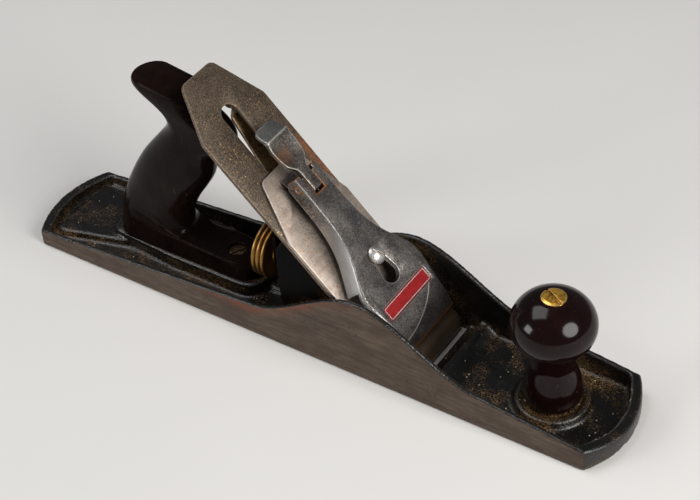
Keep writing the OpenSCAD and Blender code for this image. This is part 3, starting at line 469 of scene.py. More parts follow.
edgeWearAndHighlight = makeEdgeWearAndHighlight()
dustAndShadeInCorners = makeDustAndShade()
speckle = makeSpeckle()
specks = makeSpecks()
grindMarks = makeGrindMarks()


def newMaterial(name):
    material = bpy.data.materials.new(name)
    material.use_nodes = True
    inHand["tree"] = material.node_tree
    shader = material.node_tree.nodes["Principled BSDF"]
    return material, shader, addNode("ShaderNodeTexCoord").outputs["Object"]


def feed(shader, **values):
    names = {"color": "Base Color", "rough": "Roughness", "metal": "Metallic", "ior": "IOR",
             "specular": "Specular IOR Level"}
    for key, value in values.items():
        join(value, shader.inputs[names[key]])


def colorOf(shader):
    # what feeds the shader's colour so far
    return shader.inputs["Base Color"].links[0].from_socket


def bump(shader, height, distance):
    made = addNode("ShaderNodeBump", {"Height": height, "Distance": distance})
    join(made.outputs["Normal"], shader.inputs["Normal"])


# materials

def makeCastBody():
    material, shader, where = newMaterial("castBody")
    axes = axesOf(where)
    offSide = absolute(axes["Y"])
    sides = between(offSide, 0.02975, 0.02995)
    sole = between(axes["Z"], 0.0005, 0.0002)
    ground = larger(sides, sole)

    # ground and browned outside
    marks = useGroup(grindMarks, where, (130, 900, 1650))
    blotch = noiseOf(stretched(where, (40, 60, 90)), 1, 5, 0.65)
    bare = mixed(marks["Tone"], tint(58, 47, 39), tint(104, 88, 74))
    bare = painted(bare, tint(70, 55, 44), between(blotch, 0.42, 0.66), 0.7)
    pits = maskOf(speckle, where, 620, 0.2, 0.25)
    bare = mixed(pits, bare, tint(30, 22, 18))
    # rust below the side's upper edge, which is traced by a smooth rise and fall along x
    rise = between(axes["X"], -0.028, 0.042, 0.0195, 0.0495)
    fall = between(axes["X"], 0.042, 0.112, 0.0495, 0.0198)
    below = minus(calc("MINIMUM", rise, fall), axes["Z"])
    rustSpan = times(between(axes["X"], -0.09, -0.03), between(axes["X"], 0.06, 0))
    rustPatch = between(noiseOf(stretched(where, (60, 60, 200)), 1, 5, 0.7), 0.36, 0.62)
    rust = times(between(below, 0.0085, 0.0005), rustSpan, rustPatch)
    bare = painted(bare, tint(118, 66, 44), rust, 0.85)

    # japanned inside
    dust = maskOf(dustAndShadeInCorners, where, 0.015, 75, 0.62)
    lowFloor = between(axes["Z"], 0.012, 0.0055)
    facing = axesOf(normalWay())
    lowFloor = times(lowFloor, between(facing["Z"], 0.35, 0.7))
    grit = noiseOf(where, 1150, 4, 0.8)
    grains = larger(between(grit, 0.525, 0.58), maskOf(specks, where, 950, 0.34, 0.34))
    drift = noiseOf(where, 62, 4, 0.62)
    atToe = between(axes["X"], -0.06, 0.15)
    drift = between(timesPlus(atToe, 0.09, drift), 0.51, 0.67)
    floorDust = times(lowFloor, grains, drift)
    dust = times(dust, between(grit, 0.42, 0.56))
    dust = times(dust, between(absolute(axes["X"]), 0.1768, 0.174))
    allDust = larger(times(dust, 0.85), times(floorDust, 0.75))
    sandy = mixed(noiseOf(where, 420, 3, 0.6), tint(56, 41, 23), tint(176, 132, 76))
    black = painted(tint(11, 10, 9), sandy, allDust, 0.85)
    glints = maskOf(specks, where, 620, 0.05, 0.3)
    black = mixed(times(glints, lowFloor), black, tint(190, 176, 150))
    # painted highlight: bright lines along the rims' edges, laid over their wear
    rimWearAndHighlight = maskOf(edgeWearAndHighlight, where, 0.001, 520, 0.85)
    black = painted(black, tint(196, 188, 176), rimWearAndHighlight, 0.85)
    rubbed = times(between(axes["X"], 0.1755, 0.1772), between(axes["Y"], -0.0258, -0.0275))
    rubbed = times(rubbed, between(grit, 0.38, 0.52))
    black = painted(black, tint(146, 142, 138), rubbed, 0.8)

    color = mixed(ground, black, bare)
    roughIn = mixedValue(allDust, 0.24, 0.85)
    roughOut = mixedValue(blotch, 0.42, 0.66)
    rough = mixedValue(ground, roughIn, roughOut)
    feed(shader, color=color, rough=rough, metal=times(ground, 0.5), specular=0.5)
    cast = noiseOf(where, 1050, 3, 0.6)
    broad = noiseOf(where, 90, 2, 0.5)
    castHeight = plus(times(cast, 0.55), times(broad, 0.4))
    outHeight = minus(times(marks["Height"], 0.12), times(pits, 0.3))
    bump(shader, mixedValue(ground, castHeight, outHeight), 0.00045)
    return material


def makeJapanning():
    # black baked paint over rough castings
    material, shader, where = newMaterial("japanning")
    dust = maskOf(dustAndShadeInCorners, where, 0.008, 120, 0.5)
    edges = maskOf(edgeWearAndHighlight, where, 0.0008, 350, 0.5)
    color = painted(tint(6, 5, 5), tint(84, 58, 32), dust, 0.6)
    color = painted(color, tint(84, 72, 60), edges, 0.6)
    feed(shader, color=color, rough=mixedValue(dust, 0.5, 0.85), specular=0.03)
    cast = noiseOf(where, 420, 4, 0.6)
    bump(shader, cast, 0.00016)
    return material


def makeLacquer(name, dark, warm, scratchTone, rough, specular):
    # glossy paint over wood, with thin scratches and rubbed edges
    material, shader, where = newMaterial(name)
    shade = noiseOf(where, 60, 4, 0.6)
    grain = noiseOf(stretched(where, (180, 180, 22)), 1, 5, 0.6)
    color = mixed(times(shade, grain), dark, warm)
    scratches = noiseOf(stretched(where, (1500, 700, 60), (20, 35, 10)), 1, 2, 0.6)
    thin = between(scratches, 0.68, 0.74)
    color = painted(color, scratchTone, thin, 0.35)
    edges = maskOf(edgeWearAndHighlight, where, 0.001, 260, 0.42)
    color = painted(color, scratchTone, edges, 0.5)
    smear = noiseOf(where, 35, 3, 0.6)
    feed(shader, color=color, rough=mixedValue(smear, rough, rough + 0.1), ior=1.5, specular=specular)
    waves = plus(times(noiseOf(where, 130, 2, 0.4), 0.6), times(grain, 0.12))
    bump(shader, waves, 0.00008)
    return material


def upSlopeOf(axes):
    # how far up the slope of the iron a point lies
    return times(minus(plus(axes["Z"], edgeX), axes["X"]), slopeRoot)


def standOffOf(axes):
    # how far a point stands off the iron's face
    return times(plus(minus(axes["X"], edgeX), axes["Z"]), slopeRoot)


def makeIron():
    # browned tool steel with fine gold specks, dark at the edge, rusty at the far side by the cap
    material, shader, where = newMaterial("ironSteel")
    axes = axesOf(where)
    upSlope = upSlopeOf(axes)
    blotch = noiseOf(where, 70, 5, 0.62)
    fine = maskOf(speckle, where, 1500, 0.38, 0.3)
    thick = between(noiseOf(where, 55, 3, 0.6), 0.38, 0.6)
    thick = times(thick, between(upSlope, 0.178, 0.15))
    gold = maskOf(specks, where, 1250, 0.42, 0.52)
    gold = times(gold, between(noiseOf(where, 520, 3, 0.7), 0.42, 0.6))
    gold = times(gold, timesPlus(thick, 0.7, 0.3))
    bigSpots = maskOf(specks, where, 640, 0.15, 0.36)
    bigSpots = times(bigSpots, timesPlus(thick, 0.8, 0.2))
    color = mixed(blotch, tint(58, 49, 41), tint(108, 93, 79))
    grit = noiseOf(where, 1250, 4, 0.8)
    color = painted(color, tint(150, 130, 106), between(grit, 0.5, 0.6), 0.45)
    color = painted(color, tint(30, 25, 20), fine, 0.7)
    color = painted(color, tint(178, 138, 84), gold, 0.75)
    color = painted(color, tint(206, 168, 108), bigSpots, 0.8)
    farRust = times(between(axes["Y"], 0.0198, 0.0232), between(upSlope, 0.1, 0.11))
    farRust = times(farRust, between(upSlope, 0.142, 0.128))
    farRust = times(farRust, between(noiseOf(where, 330, 4, 0.65), 0.36, 0.56))
    color = painted(color, tint(148, 92, 58), farRust, 0.7)
    edges = maskOf(edgeWearAndHighlight, where, 0.0011, 220, 0.75)
    color = painted(color, tint(160, 142, 120), edges, 0.85)
    tip = between(upSlope, 0.014, 0.006)
    color = painted(color, mixed(blotch, tint(20, 16, 13), tint(62, 48, 34)), tip, 0.92)
    metal = times(mixedValue(edges, 0.5, 0.85), timesPlus(tip, -0.8, 1))
    feed(shader, color=color, metal=metal, rough=mixedValue(tip, mixedValue(blotch, 0.4, 0.58), 0.75))
    height = minus(times(blotch, 0.3), times(fine, 0.5))
    bump(shader, height, 0.00008)
    return material


def makeCapIron():
    # ground steel, bright at its edges, with painted shade in the corners, and dark at the nose
    material, shader, where = newMaterial("capIronSteel")
    marks = useGroup(grindMarks, where, (260, 60, 260))
    blotch = noiseOf(where, 45, 4, 0.6)
    color = mixed(marks["Tone"], tint(158, 143, 131), tint(198, 183, 170))
    color = mixed(between(blotch, 0.5, 0.72), color, tint(124, 110, 98))
    spots = maskOf(specks, where, 520, 0.14, 0.36)
    grime = maskOf(speckle, where, 1300, 0.34, 0.5)
    color = painted(color, tint(96, 82, 70), grime, 0.3)
    color = painted(color, tint(182, 118, 52), spots, 0.8)
    # painted shade: the corners darkened where other parts close in over the cap iron
    dark = maskOf(dustAndShadeInCorners, where, 0.011, 110, 0.95)
    color = painted(color, tint(24, 20, 18), dark, 0.9)
    axes = axesOf(where)
    nose = between(upSlopeOf(axes), 0.021, 0.0155)
    color = painted(color, mixed(blotch, tint(30, 24, 19), tint(92, 72, 50)), nose, 0.92)
    edges = maskOf(edgeWearAndHighlight, where, 0.0009, 160, 0.8)
    edges = times(edges, timesPlus(nose, -0.8, 1))
    color = mixed(edges, color, tint(226, 218, 208))
    feed(shader, color=color, metal=0.75, rough=mixedValue(blotch, 0.34, 0.5))
    bump(shader, marks["Height"], 0.00003)
    return material


def makeNickel(name, dark, light, dots, rustAmount):
    # worn plate: dull grey, thick with dark and brown dots, bright where it is rubbed
    material, shader, where = newMaterial(name)
    broad = noiseOf(where, 70, 5, 0.62, 0.3)
    hue = noiseOf(where, 120, 3, 0.55, 0.5)
    grit = noiseOf(where, 1350, 3, 0.7)
    color = mixed(between(broad, 0.32, 0.68), dark, light)
    color = painted(color, tint(70, 74, 94), between(hue, 0.5, 0.66), 0.3)
    fine = maskOf(speckle, where, 1300, dots, 0.5)
    pits = maskOf(specks, where, 760, dots * 0.9, 0.4)
    brown = maskOf(specks, where, 980, dots * 0.8, 0.5)
    marks = larger(times(fine, 0.6), times(pits, 0.8))
    color = painted(color, tint(176, 171, 164), between(grit, 0.5, 0.62), 0.45)
    color = painted(color, tint(98, 80, 62), brown, 0.5)
    color = mixed(marks, color, tint(26, 24, 24))
    rustPatch = maskOf(speckle, where, 210, rustAmount, 0.9)
    color = mixed(times(rustPatch, timesPlus(grit, 0.9, 0.1)), color, tint(126, 82, 54))
    edges = maskOf(edgeWearAndHighlight, where, 0.001, 180, 0.85)
    color = mixed(edges, color, tint(224, 221, 214))
    dirt = maskOf(dustAndShadeInCorners, where, 0.003, 260, 0.9)
    color = painted(color, tint(112, 72, 38), dirt, 0.75)
    rough = mixedValue(broad, 0.3, 0.46)
    feed(shader, color=color, metal=0.85, rough=mixedValue(marks, rough, 0.65))
    bump(shader, minus(times(grit, 0.35), marks), 0.00005)
    return material, shader, where


def makeCapNickel():
    # the cap's plate: flanges with a painted bright reflection low down, rust at its ends, a painted
    # highlight line across the nose with painted shade below it
    material, shader, where = makeNickel("capNickel", tint(74, 69, 66), tint(128, 122, 118), 0.36, 0.1)
    axes = axesOf(where)
    upSlope = upSlopeOf(axes)
    facing = axesOf(normalWay())
    side = between(absolute(facing["Y"]), 0.55, 0.85)
    lowHighlight = between(upSlope, 0.105, 0.066)
    color = colorOf(shader)
    # painted reflection: side faces of the flanges made bright low down
    color = painted(color, tint(200, 200, 201), times(side, lowHighlight), 0.8)

    # the painted highlight line bends from the panel's far end down to the near corner; the plate below it is
    # darkened as painted shade
    across = plus(axes["Y"], 0.0179)
    bend = timesPlus(times(across, across), 11.9, 0.0218)
    past = minus(upSlope, bend)
    # painted shade below the bend
    shaded = times(between(past, 0.0003, -0.0012), 0.34)
    color = mixed(times(shaded, between(upSlope, 0.036, 0.033)), color, tint(32, 32, 34))
    # painted highlight: a thin bright line along the bend
    thin = between(absolute(past), 0.0006, 0.0002)
    thin = times(thin, between(upSlope, 0.0355, 0.0335))
    color = painted(color, tint(206, 203, 196), thin, 0.75)

    # rust along the bottom edge, in the notch and round the pin
    ragged = times(minus(noiseOf(where, 620, 4, 0.7), 0.5), 0.0016)
    rustTone = mixed(noiseOf(where, 900, 3, 0.6), tint(92, 54, 26), tint(190, 118, 50))
    foot = between(plus(upSlope, ragged), 0.01665, 0.01585)
    color = painted(color, rustTone, foot, 0.9)
    offSide = absolute(axes["Y"])
    notch = times(between(plus(offSide, ragged), 0.0046, 0.0038),
                  between(plus(upSlope, ragged), 0.1052, 0.106))
    color = painted(color, rustTone, notch, 0.75)
    tipEnd = between(plus(upSlope, ragged), 0.1182, 0.1189)
    color = painted(color, rustTone, tipEnd, 0.8)
    up, out = minus(upSlope, 0.1138), minus(standOffOf(axes), 0.0132)
    ring = calc("SQRT", plus(times(up, up), times(out, out)))
    ring = times(between(plus(ring, ragged), 0.0029, 0.0022), side)
    color = painted(color, rustTone, ring, 0.9)
    feed(shader, color=color)
    return material


def makeCamNickel():
    # the little lever's plate: a rusty patch below its ridge, the pad beyond it painted paler as lit, and a
    # painted highlight along the ridge
    material, shader, where = makeNickel("camNickel", tint(74, 68, 62), tint(118, 110, 102), 0.4, 0.12)
    axes = axesOf(where)
    upSlope = upSlopeOf(axes)
    color = colorOf(shader)
    ragged = minus(noiseOf(where, 420, 4, 0.7), 0.5)
    across = timesPlus(ragged, 0.009, axes["Y"])
    along = timesPlus(ragged, 0.011, upSlope)
    patch = times(between(along, 0.1255, 0.1295), between(along, 0.1365, 0.133))
    patch = times(patch, between(across, 0.0025, -0.0015))
    patch = times(patch, between(noiseOf(where, 1300, 3, 0.7), 0.4, 0.6))
    color = painted(color, tint(158, 106, 70), patch, 0.7)
    # painted light: the pad beyond the ridge made paler
    paintedLightPad = between(upSlope, 0.1395, 0.1412)
    color = painted(color, tint(138, 143, 143), paintedLightPad, 0.34)
    # painted highlight: a thin bright line along the ridge
    ridgeHighlight = between(absolute(minus(upSlope, 0.1411)), 0.0006, 0.0002)
    color = painted(color, tint(200, 196, 186), ridgeHighlight, 0.6)
    feed(shader, color=color)
    return material


def makeEnamel():
    # the cap's red panel
    material, shader, where = newMaterial("redEnamel")
    chips = maskOf(specks, where, 700, 0.08, 0.3)
    shade = noiseOf(where, 260, 3, 0.6)
    color = mixed(shade, tint(118, 6, 10), tint(158, 12, 19))
    feed(shader, color=mixed(chips, color, tint(120, 110, 108)), rough=mixedValue(shade, 0.3, 0.5))
    bump(shader, shade, 0.00004)
    return material


def makeBrass():
    material, shader, where = newMaterial("oldBrass")
    broad = noiseOf(where, 130, 4, 0.6)
    color = mixed(broad, tint(122, 86, 42), tint(172, 130, 72))
    # the nut on the front knob is cleaner and spotted, the wheel browner
    atKnob = between(axesOf(where)["X"], 0.09, 0.1)
    stain = between(noiseOf(where, 430, 4, 0.7), 0.44, 0.58)
    color = mixed(atKnob, color, mixed(stain, tint(240, 190, 84), tint(178, 126, 46)))
    dark = maskOf(dustAndShadeInCorners, where, 0.0016, 300, 0.8)
    color = painted(color, tint(62, 36, 14), dark, 0.85)
    edges = maskOf(edgeWearAndHighlight, where, 0.0006, 300, 0.8)
    color = mixed(edges, color, tint(232, 196, 132))
    feed(shader, color=color, metal=0.95, rough=mixedValue(broad, 0.28, 0.48))
    bump(shader, broad, 0.00004)
    return material


def makeSteel(name, dark, light, rustTone, rustAmount):
    # plain steel with clumps of rust
    material, shader, where = newMaterial(name)
    broad = noiseOf(where, 150, 5, 0.65)
    color = mixed(broad, dark, light)
    rust = maskOf(speckle, where, 520, rustAmount, 0.8)
    color = painted(color, rustTone, rust, 0.8)
    edges = maskOf(edgeWearAndHighlight, where, 0.0006, 300, 0.7)
    color = mixed(edges, color, tint(190, 180, 168))
    feed(shader, color=color, metal=0.8, rough=mixedValue(rust, mixedValue(broad, 0.3, 0.5), 0.75))
    bump(shader, broad, 0.00005)
    return material


castBody = makeCastBody()
japanning = makeJapanning()
blackLacquer = makeLacquer("blackLacquer", tint(4, 3, 3), tint(44, 29, 23), tint(84, 66, 54), 0.1, 0.05)
maroonLacquer = makeLacquer("maroonLacquer", tint(9, 4, 4), tint(34, 15, 13), tint(104, 70, 56), 0.08, 0.2)
ironSteel = makeIron()
capIronSteel = makeCapIron()
capNickel = makeCapNickel()
camNickel = makeCamNickel()
brightNickel = makeNickel("screwNickel", tint(150, 150, 148), tint(206, 204, 200), 0.16, 0.08)[0]
redEnamel = makeEnamel()
oldBrass = makeBrass()
dullSteel = makeSteel("dullSteel", tint(92, 86, 80), tint(146, 138, 130), tint(96, 60, 36), 0.26)
brownSteel = makeSteel("brownSteel", tint(84, 66, 44), tint(140, 116, 80), tint(60, 38, 22), 0.4)
print("materials made")


# camera, floor and light

cameraSet = {"place": (0.423293, -0.543603, 0.648356), "turn": 36.568, "tilt": 41.312, "roll": -5.022,
             "lens": 92.54}


def makeCamera():
    turn, tilt, roll = (math.radians(cameraSet[key]) for key in ("turn", "tilt", "roll"))
    ahead = Vector((-math.sin(turn) * math.cos(tilt), math.cos(turn) * math.cos(tilt), -math.sin(tilt)))
    level = ahead.cross(Vector((0, 0, 1))).normalized()
    upright = level.cross(ahead)
    right = level * math.cos(roll) + upright * math.sin(roll)
    up = upright * math.cos(roll) - level * math.sin(roll)
    clearSelection()
    bpy.ops.object.camera_add(location=(0, 0, 0))
    camera = bpy.context.object
    camera.name = "photoCamera"
    camera.data.lens = cameraSet["lens"]
    camera.data.clip_start = 0.02
    facing = Matrix((right, up, -ahead)).transposed().to_4x4()
    camera.matrix_world = Matrix.Translation(cameraSet["place"]) @ facing
    bpy.context.scene.camera = camera


def makeFloor():
    clearSelection()
    bpy.ops.mesh.primitive_plane_add(size=9, location=(0, 0, -0.00005))
    floor = bpy.context.object
    floor.name = "studioFloor"
    place(floor)
    material, shader, where = newMaterial("paleFloor")
    feed(shader, color=mixed(noiseOf(where, 5.0, 3.0, 0.5), tint(206, 204, 201), tint(213, 211, 208)),
         rough=0.75, specular=0.3)
    floor.data.materials.append(material)


def makeLamp(name, place, aim, size, power, tone=(1, 1, 1), shape="RECTANGLE"):
    clearSelection()
    bpy.ops.object.light_add(type="AREA", location=place)
    lamp = bpy.context.object
    lamp.name = name
    lamp.data.shape = shape
    lamp.data.size, lamp.data.size_y = size
    lamp.data.energy = power
    lamp.data.color = tone
    lamp.rotation_euler = (Vector(aim) - Vector(place)).to_track_quat("-Z", "Y").to_euler()


def makeWorld():
    world = bpy.data.worlds.new("studioWorld")
    bpy.context.scene.world = world
    world.use_nodes = True
    background = world.node_tree.nodes["Background"]
    background.inputs["Color"].default_value = tint(232, 234, 238)
    background.inputs["Strength"].default_value = 0.14


makeCamera()
makeFloor()
makeLamp("toeSoftbox", (1.14, -0.18, 0.74), (0.05, 0, 0.03), (0.85, 0.85), 20.0, (1, 0.99, 0.97), "ELLIPSE")
makeLamp("topSoftbox", (-0.55, -0.14, 1.3), (0, 0, 0.03), (0.8, 0.8), 9.0)
makeLamp("nearSoftbox", (-0.75, -0.95, 0.5), (0, 0, 0.03), (0.42, 0.42), 6.0, (0.98, 0.99, 1))
makeWorld()
bpy.context.scene.view_settings.view_transform = "Standard"
print("camera, floor and lamps set")


# the bed

bedSet = {"voxel": 0.95, "smoothing": 5, "sideFrom": 29.9, "soleTo": 0.25, "endSmoothing": 14,
          "endsFrom": 158, "endsHalf": 29.8}


def smoothWhere(piece, groupName, test, rounds, **settings):
    group = piece.vertex_groups.new(name=groupName)
    group.add([vert.index for vert in piece.data.vertices if test(vert.co)], 1.0, "REPLACE")
    modify(piece, "SMOOTH", factor=0.5, iterations=rounds, vertex_group=groupName, **settings)


def makeBed():
    s = bedSet
    bed = copyOf("bed", "bedCasting")
    modify(bed, "REMESH", mode="VOXEL", voxel_size=s["voxel"] * mm)
    # the sides and the sole stay flat while the casting is smoothed
    smoothWhere(bed, "casting", lambda spot: abs(spot.y) < s["sideFrom"] * mm and spot.z > s["soleTo"] * mm,
                s["smoothing"])
    # the curved ends are drawn smooth down to the sole
    smoothWhere(bed, "ends",
                lambda spot: abs(spot.x) > s["endsFrom"] * mm and abs(spot.y) < s["endsHalf"] * mm,
                s["endSmoothing"], use_z=False)
    bed.vertex_groups.clear()
    finish(bed, "body", "cast_body", castBody, "bed", angle=0)
    choose(bed)
    bpy.ops.object.shade_smooth()
    print("bed:", len(bed.data.polygons), "faces")


makeBed()


# the front knob

knobSet = {
    "place": 135.2, "top": 74.0, "seat": 6.2, "ball": 21.2, "ballHalf": 17.6, "neck": 10.9, "flare": 1.06,
    "foot": 15.0, "footRound": 3.2, "bellHeight": 13.6, "neckHeight": 31.5, "nut": 6.0, "nutPlay": 0.05,
    "nutDepth": 1.6, "bore": 3.05, "slotTurn": -69,
}


def makeKnob():
    s = knobSet
    ballHeight = s["top"] - s["ballHalf"]
    join = math.acos(s["neck"] * s["flare"] / s["ball"])
    joinHeight = ballHeight - s["ballHalf"] * math.sin(join)
    nutRest = math.asin((s["nut"] + 0.6) / s["ball"])
    profile = [(s["foot"] - s["footRound"], s["seat"])]
    for i in range(1, 9):
        a = math.radians(90 * i / 8)
        profile.append((s["foot"] - s["footRound"] * (1 - math.sin(a)),
                        s["seat"] + (s["bellHeight"] - s["seat"]) * (i / 8)))
    for i in range(1, 17):
        t = i / 16
        profile.append((s["neck"] + (s["foot"] - s["neck"]) * math.cos(math.pi * t / 2) ** 1.3,
                        s["bellHeight"] + (s["neckHeight"] - s["bellHeight"]) * t))
    for i in range(1, 8):
        t = i / 8
        profile.append((s["neck"] * (1 + (s["flare"] - 1) * t * t),
                        s["neckHeight"] + (joinHeight - s["neckHeight"]) * t))
    for i in range(41):
        a = -join + (math.radians(90) - nutRest + join) * i / 40
        profile.append((s["ball"] * math.cos(a), ballHeight + s["ballHalf"] * math.sin(a)))
    topHeight = ballHeight + s["ballHalf"] * math.cos(nutRest)
    hole, floor = s["nut"] + s["nutPlay"], s["top"] - s["nutDepth"]
    profile += [(hole, topHeight - 0.15), (hole, floor), (s["bore"], floor), (s["bore"], s["seat"])]
    knob = turned("frontKnob", profile, 96)
    edit(knob, "EDGE")
    bpy.ops.mesh.select_all(action="DESELECT")
    bpy.ops.mesh.select_non_manifold()
    bpy.ops.mesh.bridge_edge_loops()
    selectAll()
    bpy.ops.mesh.normals_make_consistent(inside=False)
    leaveEdit()
    place(knob, shift(s["place"]))
    finish(knob, "body", "dark_lacquer", maroonLacquer, "knob", angle=40)


makeKnob()
print("knob turned")


toteSet = {
    "base": 12.0, "half": 11.4, "quarter": 10, "between": 4, "edge": 0.55,
    "rodPlace": -100.5, "rodLean": 17, "rodBore": 3.05, "nutBore": 5.25, "nutFrom": 95,
    "screwPlace": -54, "screwBore": 2.35, "headBore": 4.85, "headFrom": 6.4,
    # rear x, rear z, front x, front z, half thickness as a share, end roundness, bow
    "rows": [
        (-130.5, 0, -37.5, 0, 1, 1.0, 0), (-130.4, 2.5, -37.3, 3, 1, 1.0, 0),
        (-129.6, 7.5, -38.6, 7, 1, 1.0, 0),
        (-128.6, 12.5, -42, 9.8, 0.98, 1.0, 0), (-127.6, 17, -50, 10.8, 0.97, 1.0, 0),
        (-126.6, 21, -62, 10.6, 0.96, 1.0, 0), (-125.4, 25, -73, 10.8, 0.96, 1.1, 0),
        (-123.8, 29.5, -79.4, 12.8, 0.96, 1.2, 0), (-121.6, 34.5, -82.6, 17, 0.97, 1.3, 0),
        (-119, 39.5, -82.6, 23.4, 0.98, 1.4, 0), (-115.8, 45.5, -79.6, 30.5, 1, 1.45, 0),
        (-111.3, 53, -74.6, 39.3, 1, 1.45, 0), (-106, 60.8, -68.8, 47.7, 1, 1.4, 0),
        (-99.6, 68.8, -63.2, 57, 0.98, 1.35, 0), (-93.2, 76.4, -60.2, 66, 0.96, 1.25, 0),
        (-88.2, 82.8, -55.4, 73.2, 0.93, 1.15, 0), (-85.8, 88.2, -49, 78.4, 0.91, 1.1, 0),
        (-86.2, 93.2, -46.2, 83.8, 0.91, 1.05, 0), (-88.8, 97.6, -47.4, 87.4, 0.92, 1.0, 0.3),
        (-93, 101.2, -51, 90.3, 0.94, 1.0, 0.8), (-98.2, 104.4, -55.8, 92.6, 0.96, 1.0, 1.6),
        (-102.6, 107, -59.8, 95.6, 0.98, 1.0, 2.4), (-104.9, 109.2, -63, 100, 0.99, 1.0, 3),
        (-104.4, 111.2, -64.8, 104.6, 0.97, 1.0, 3.2),
    ],
}


def toteRing(row, squeeze=1.0):
    s = toteSet
    rear, front = Vector((row[0], s["base"] + row[1])), Vector((row[2], s["base"] + row[3]))
    chord = (front - rear).length
    along = (front - rear) / chord
    up = Vector((-along.y, along.x))
    half = s["half"] * row[4]
    reach = min(chord / 2 - 0.4, half * row[5])
    turns = [math.radians(90 * i / s["quarter"]) for i in range(s["quarter"] + 1)]
    side = [(reach * (1 - math.cos(a)), half * math.sin(a)) for a in turns]
    side += [(chord - reach * (1 - math.cos(a)), half * math.sin(a)) for a in reversed(turns)]
    ring = side + [(x, -y) for x, y in reversed(side[1:-1])]
    points = []
    for x, y in ring:
        share = x / chord
        spot = rear + along * x + up * row[6] * 4 * share * (1 - share)
        points.append((spot.x, y * squeeze, spot.y))
    return points


def makeTote():
    s = toteSet
    columns = [[(k, row[c]) for k, row in enumerate(s["rows"])] for c in range(7)]
    rows = []
    for step in range((len(s["rows"]) - 1) * s["between"] + 1):
        rows.append([flow(column, step / s["between"]) for column in columns])
    rings = [toteRing(rows[0], q) for q in (0, 0.4, 0.75)] + [toteRing(row) for row in rows]
    rings += [toteRing(rows[-1], q) for q in (0.75, 0.4, 0)]
    tote = loft("rearTote", rings)
    lean = shift(s["rodPlace"], s["base"]) @ Matrix.Rotation(math.radians(s["rodLean"]), 4, "Y")
    carve(tote, rodCutter(s["rodBore"], -6, 120, lean))
    carve(tote, rodCutter(s["nutBore"], s["nutFrom"], 120, lean))
    screw = shift(s["screwPlace"], s["base"])
    carve(tote, rodCutter(s["screwBore"], -2, 30, screw))
    carve(tote, rodCutter(s["headBore"], s["headFrom"], 30, screw))
    bevelEdges(tote, s["edge"] * mm, 3, 42)
    finish(tote, "body", "black_lacquer", blackLacquer, "tote", angle=32)
    print("tote:", len(tote.data.polygons), "faces")


makeTote()


capSet = {
    "low": 15.2, "end": 119, "half": 25.0, "neck": 8.8, "shoulder": 46.0, "taper": 24.0, "face": 16.5,
    "nose": 16.8, "lip": 8.0, "lipTo": 17.2, "curveTo": 22, "plate": 3.0, "flange": 2.4, "flangeFrom": 56.5,
    "corner": 1.0, "keyhole": 64.0, "keyTravel": 11.0, "keyWide": 5.7, "keyNarrow": 3.7, "edge": 0.28,
    "panel": 38.7, "panelHalf": (4.15, 18.6), "panelFloor": 15.8, "panelCorner": 1.6,
    "lineGap": 0.55, "lineWidth": 0.4, "lineHeight": 0.28,
    "pin": (113.8, 13.2), "pinBore": 1.65, "rivet": 90.0, "rivetBore": 2.05,
    "notch": (106.6, 3.45), "mouth": (117, 5.2), "draft": 0.51,
    "crown": [(15, 4.4), (30, 4.0), (38, 2.9), (47, 1.5), (55, 0.3), (60, 0), (119, 0)],
    "under": [(13, 5.2), (15.2, 5.2), (19, 4.4), (22, 4.4)],
    "flangeLow": [(56.5, 4.96), (72, 5.6), (93.8, 6.8), (116, 7.0), (119, 9.7)],
    "round": [(13, 0.7), (24, 0.9), (40, 1.1), (60, 1.1), (80, 0.8), (96, 0.5), (119, 0.5)],
}


def capHalf(u):
    s = capSet
    wide = s["neck"] + (s["half"] - s["neck"]) * math.exp(-(max(0, u - s["shoulder"]) / s["taper"]) ** 2)
    return wide - max(0, s["low"] + s["corner"] - u)


def capFace(u):
    s = capSet
    return s["lip"] + (s["face"] - s["lip"]) * (1 - max(0, 1 - (u - s["low"]) / s["nose"]) ** 1.7)


def capRing(u, closed=False):
    # outer line from the near edge over the face to the far edge, then the inner line back
    s = capSet
    full, face, turn = capHalf(u), capFace(u), flow(s["round"], u)
    if u <= s["lipTo"]:
        inner = low = straight(s["under"], u)
    elif u < s["curveTo"]:
        inner, low = capFace(u - 1.2) - s["plate"], straight(s["under"], u)
    elif u < s["flangeFrom"]:
        inner = low = capFace(u - 1.2) - s["plate"]
    else:
        inner, low = s["face"] - s["plate"], straight(s["flangeLow"], u)
    # the face is narrower than the foot near the nose, and its sides lean out as they go down
    top = min(full, full - straight(s["crown"], u) + (s["face"] - face) * s["draft"])

    def wideAt(z):
        return min(full, top + (face - z) * s["draft"])

    outer = [((top - turn) * share, face) for share in (0, 0.3, 0.6, 0.85, 1)]
    for k in range(1, 7):
        a = math.radians(15 * k)
        z = face - turn + turn * math.cos(a)
        outer.append((wideAt(z) - turn + turn * math.sin(a), z))
    middle = min(max(face - (full - top) / s["draft"], low + 0.15), face - turn - 0.1)
    outer += [(wideAt(middle), middle), (wideAt(low), low)]
    innerHalf = min(full - s["flange"], wideAt(inner) - 1.9)
    hidden = [(y * innerHalf / outer[-1][0], inner) for y, z in outer[:-1]] + [(innerHalf, low)]
    around = outer[::-1] + [(-y, z) for y, z in outer[1:]]
    back = [(-y, z) for y, z in hidden[::-1]] + hidden[1:]
    if closed:
        mid = [((a[0] + b[0]) / 2, (a[1] + b[1]) / 2) for a, b in zip(around, back[::-1])]
        around, back = mid, mid[::-1]
    return [(u, y, z) for y, z in around + back]


def paintFaces(piece, material, test):
    # gives the chosen faces a material of their own
    piece.data.materials.append(material)
    edit(piece)
    selectFaces(piece, test)
    piece.active_material_index = len(piece.data.materials) - 1
    bpy.ops.object.material_slot_assign()
    leaveEdit()


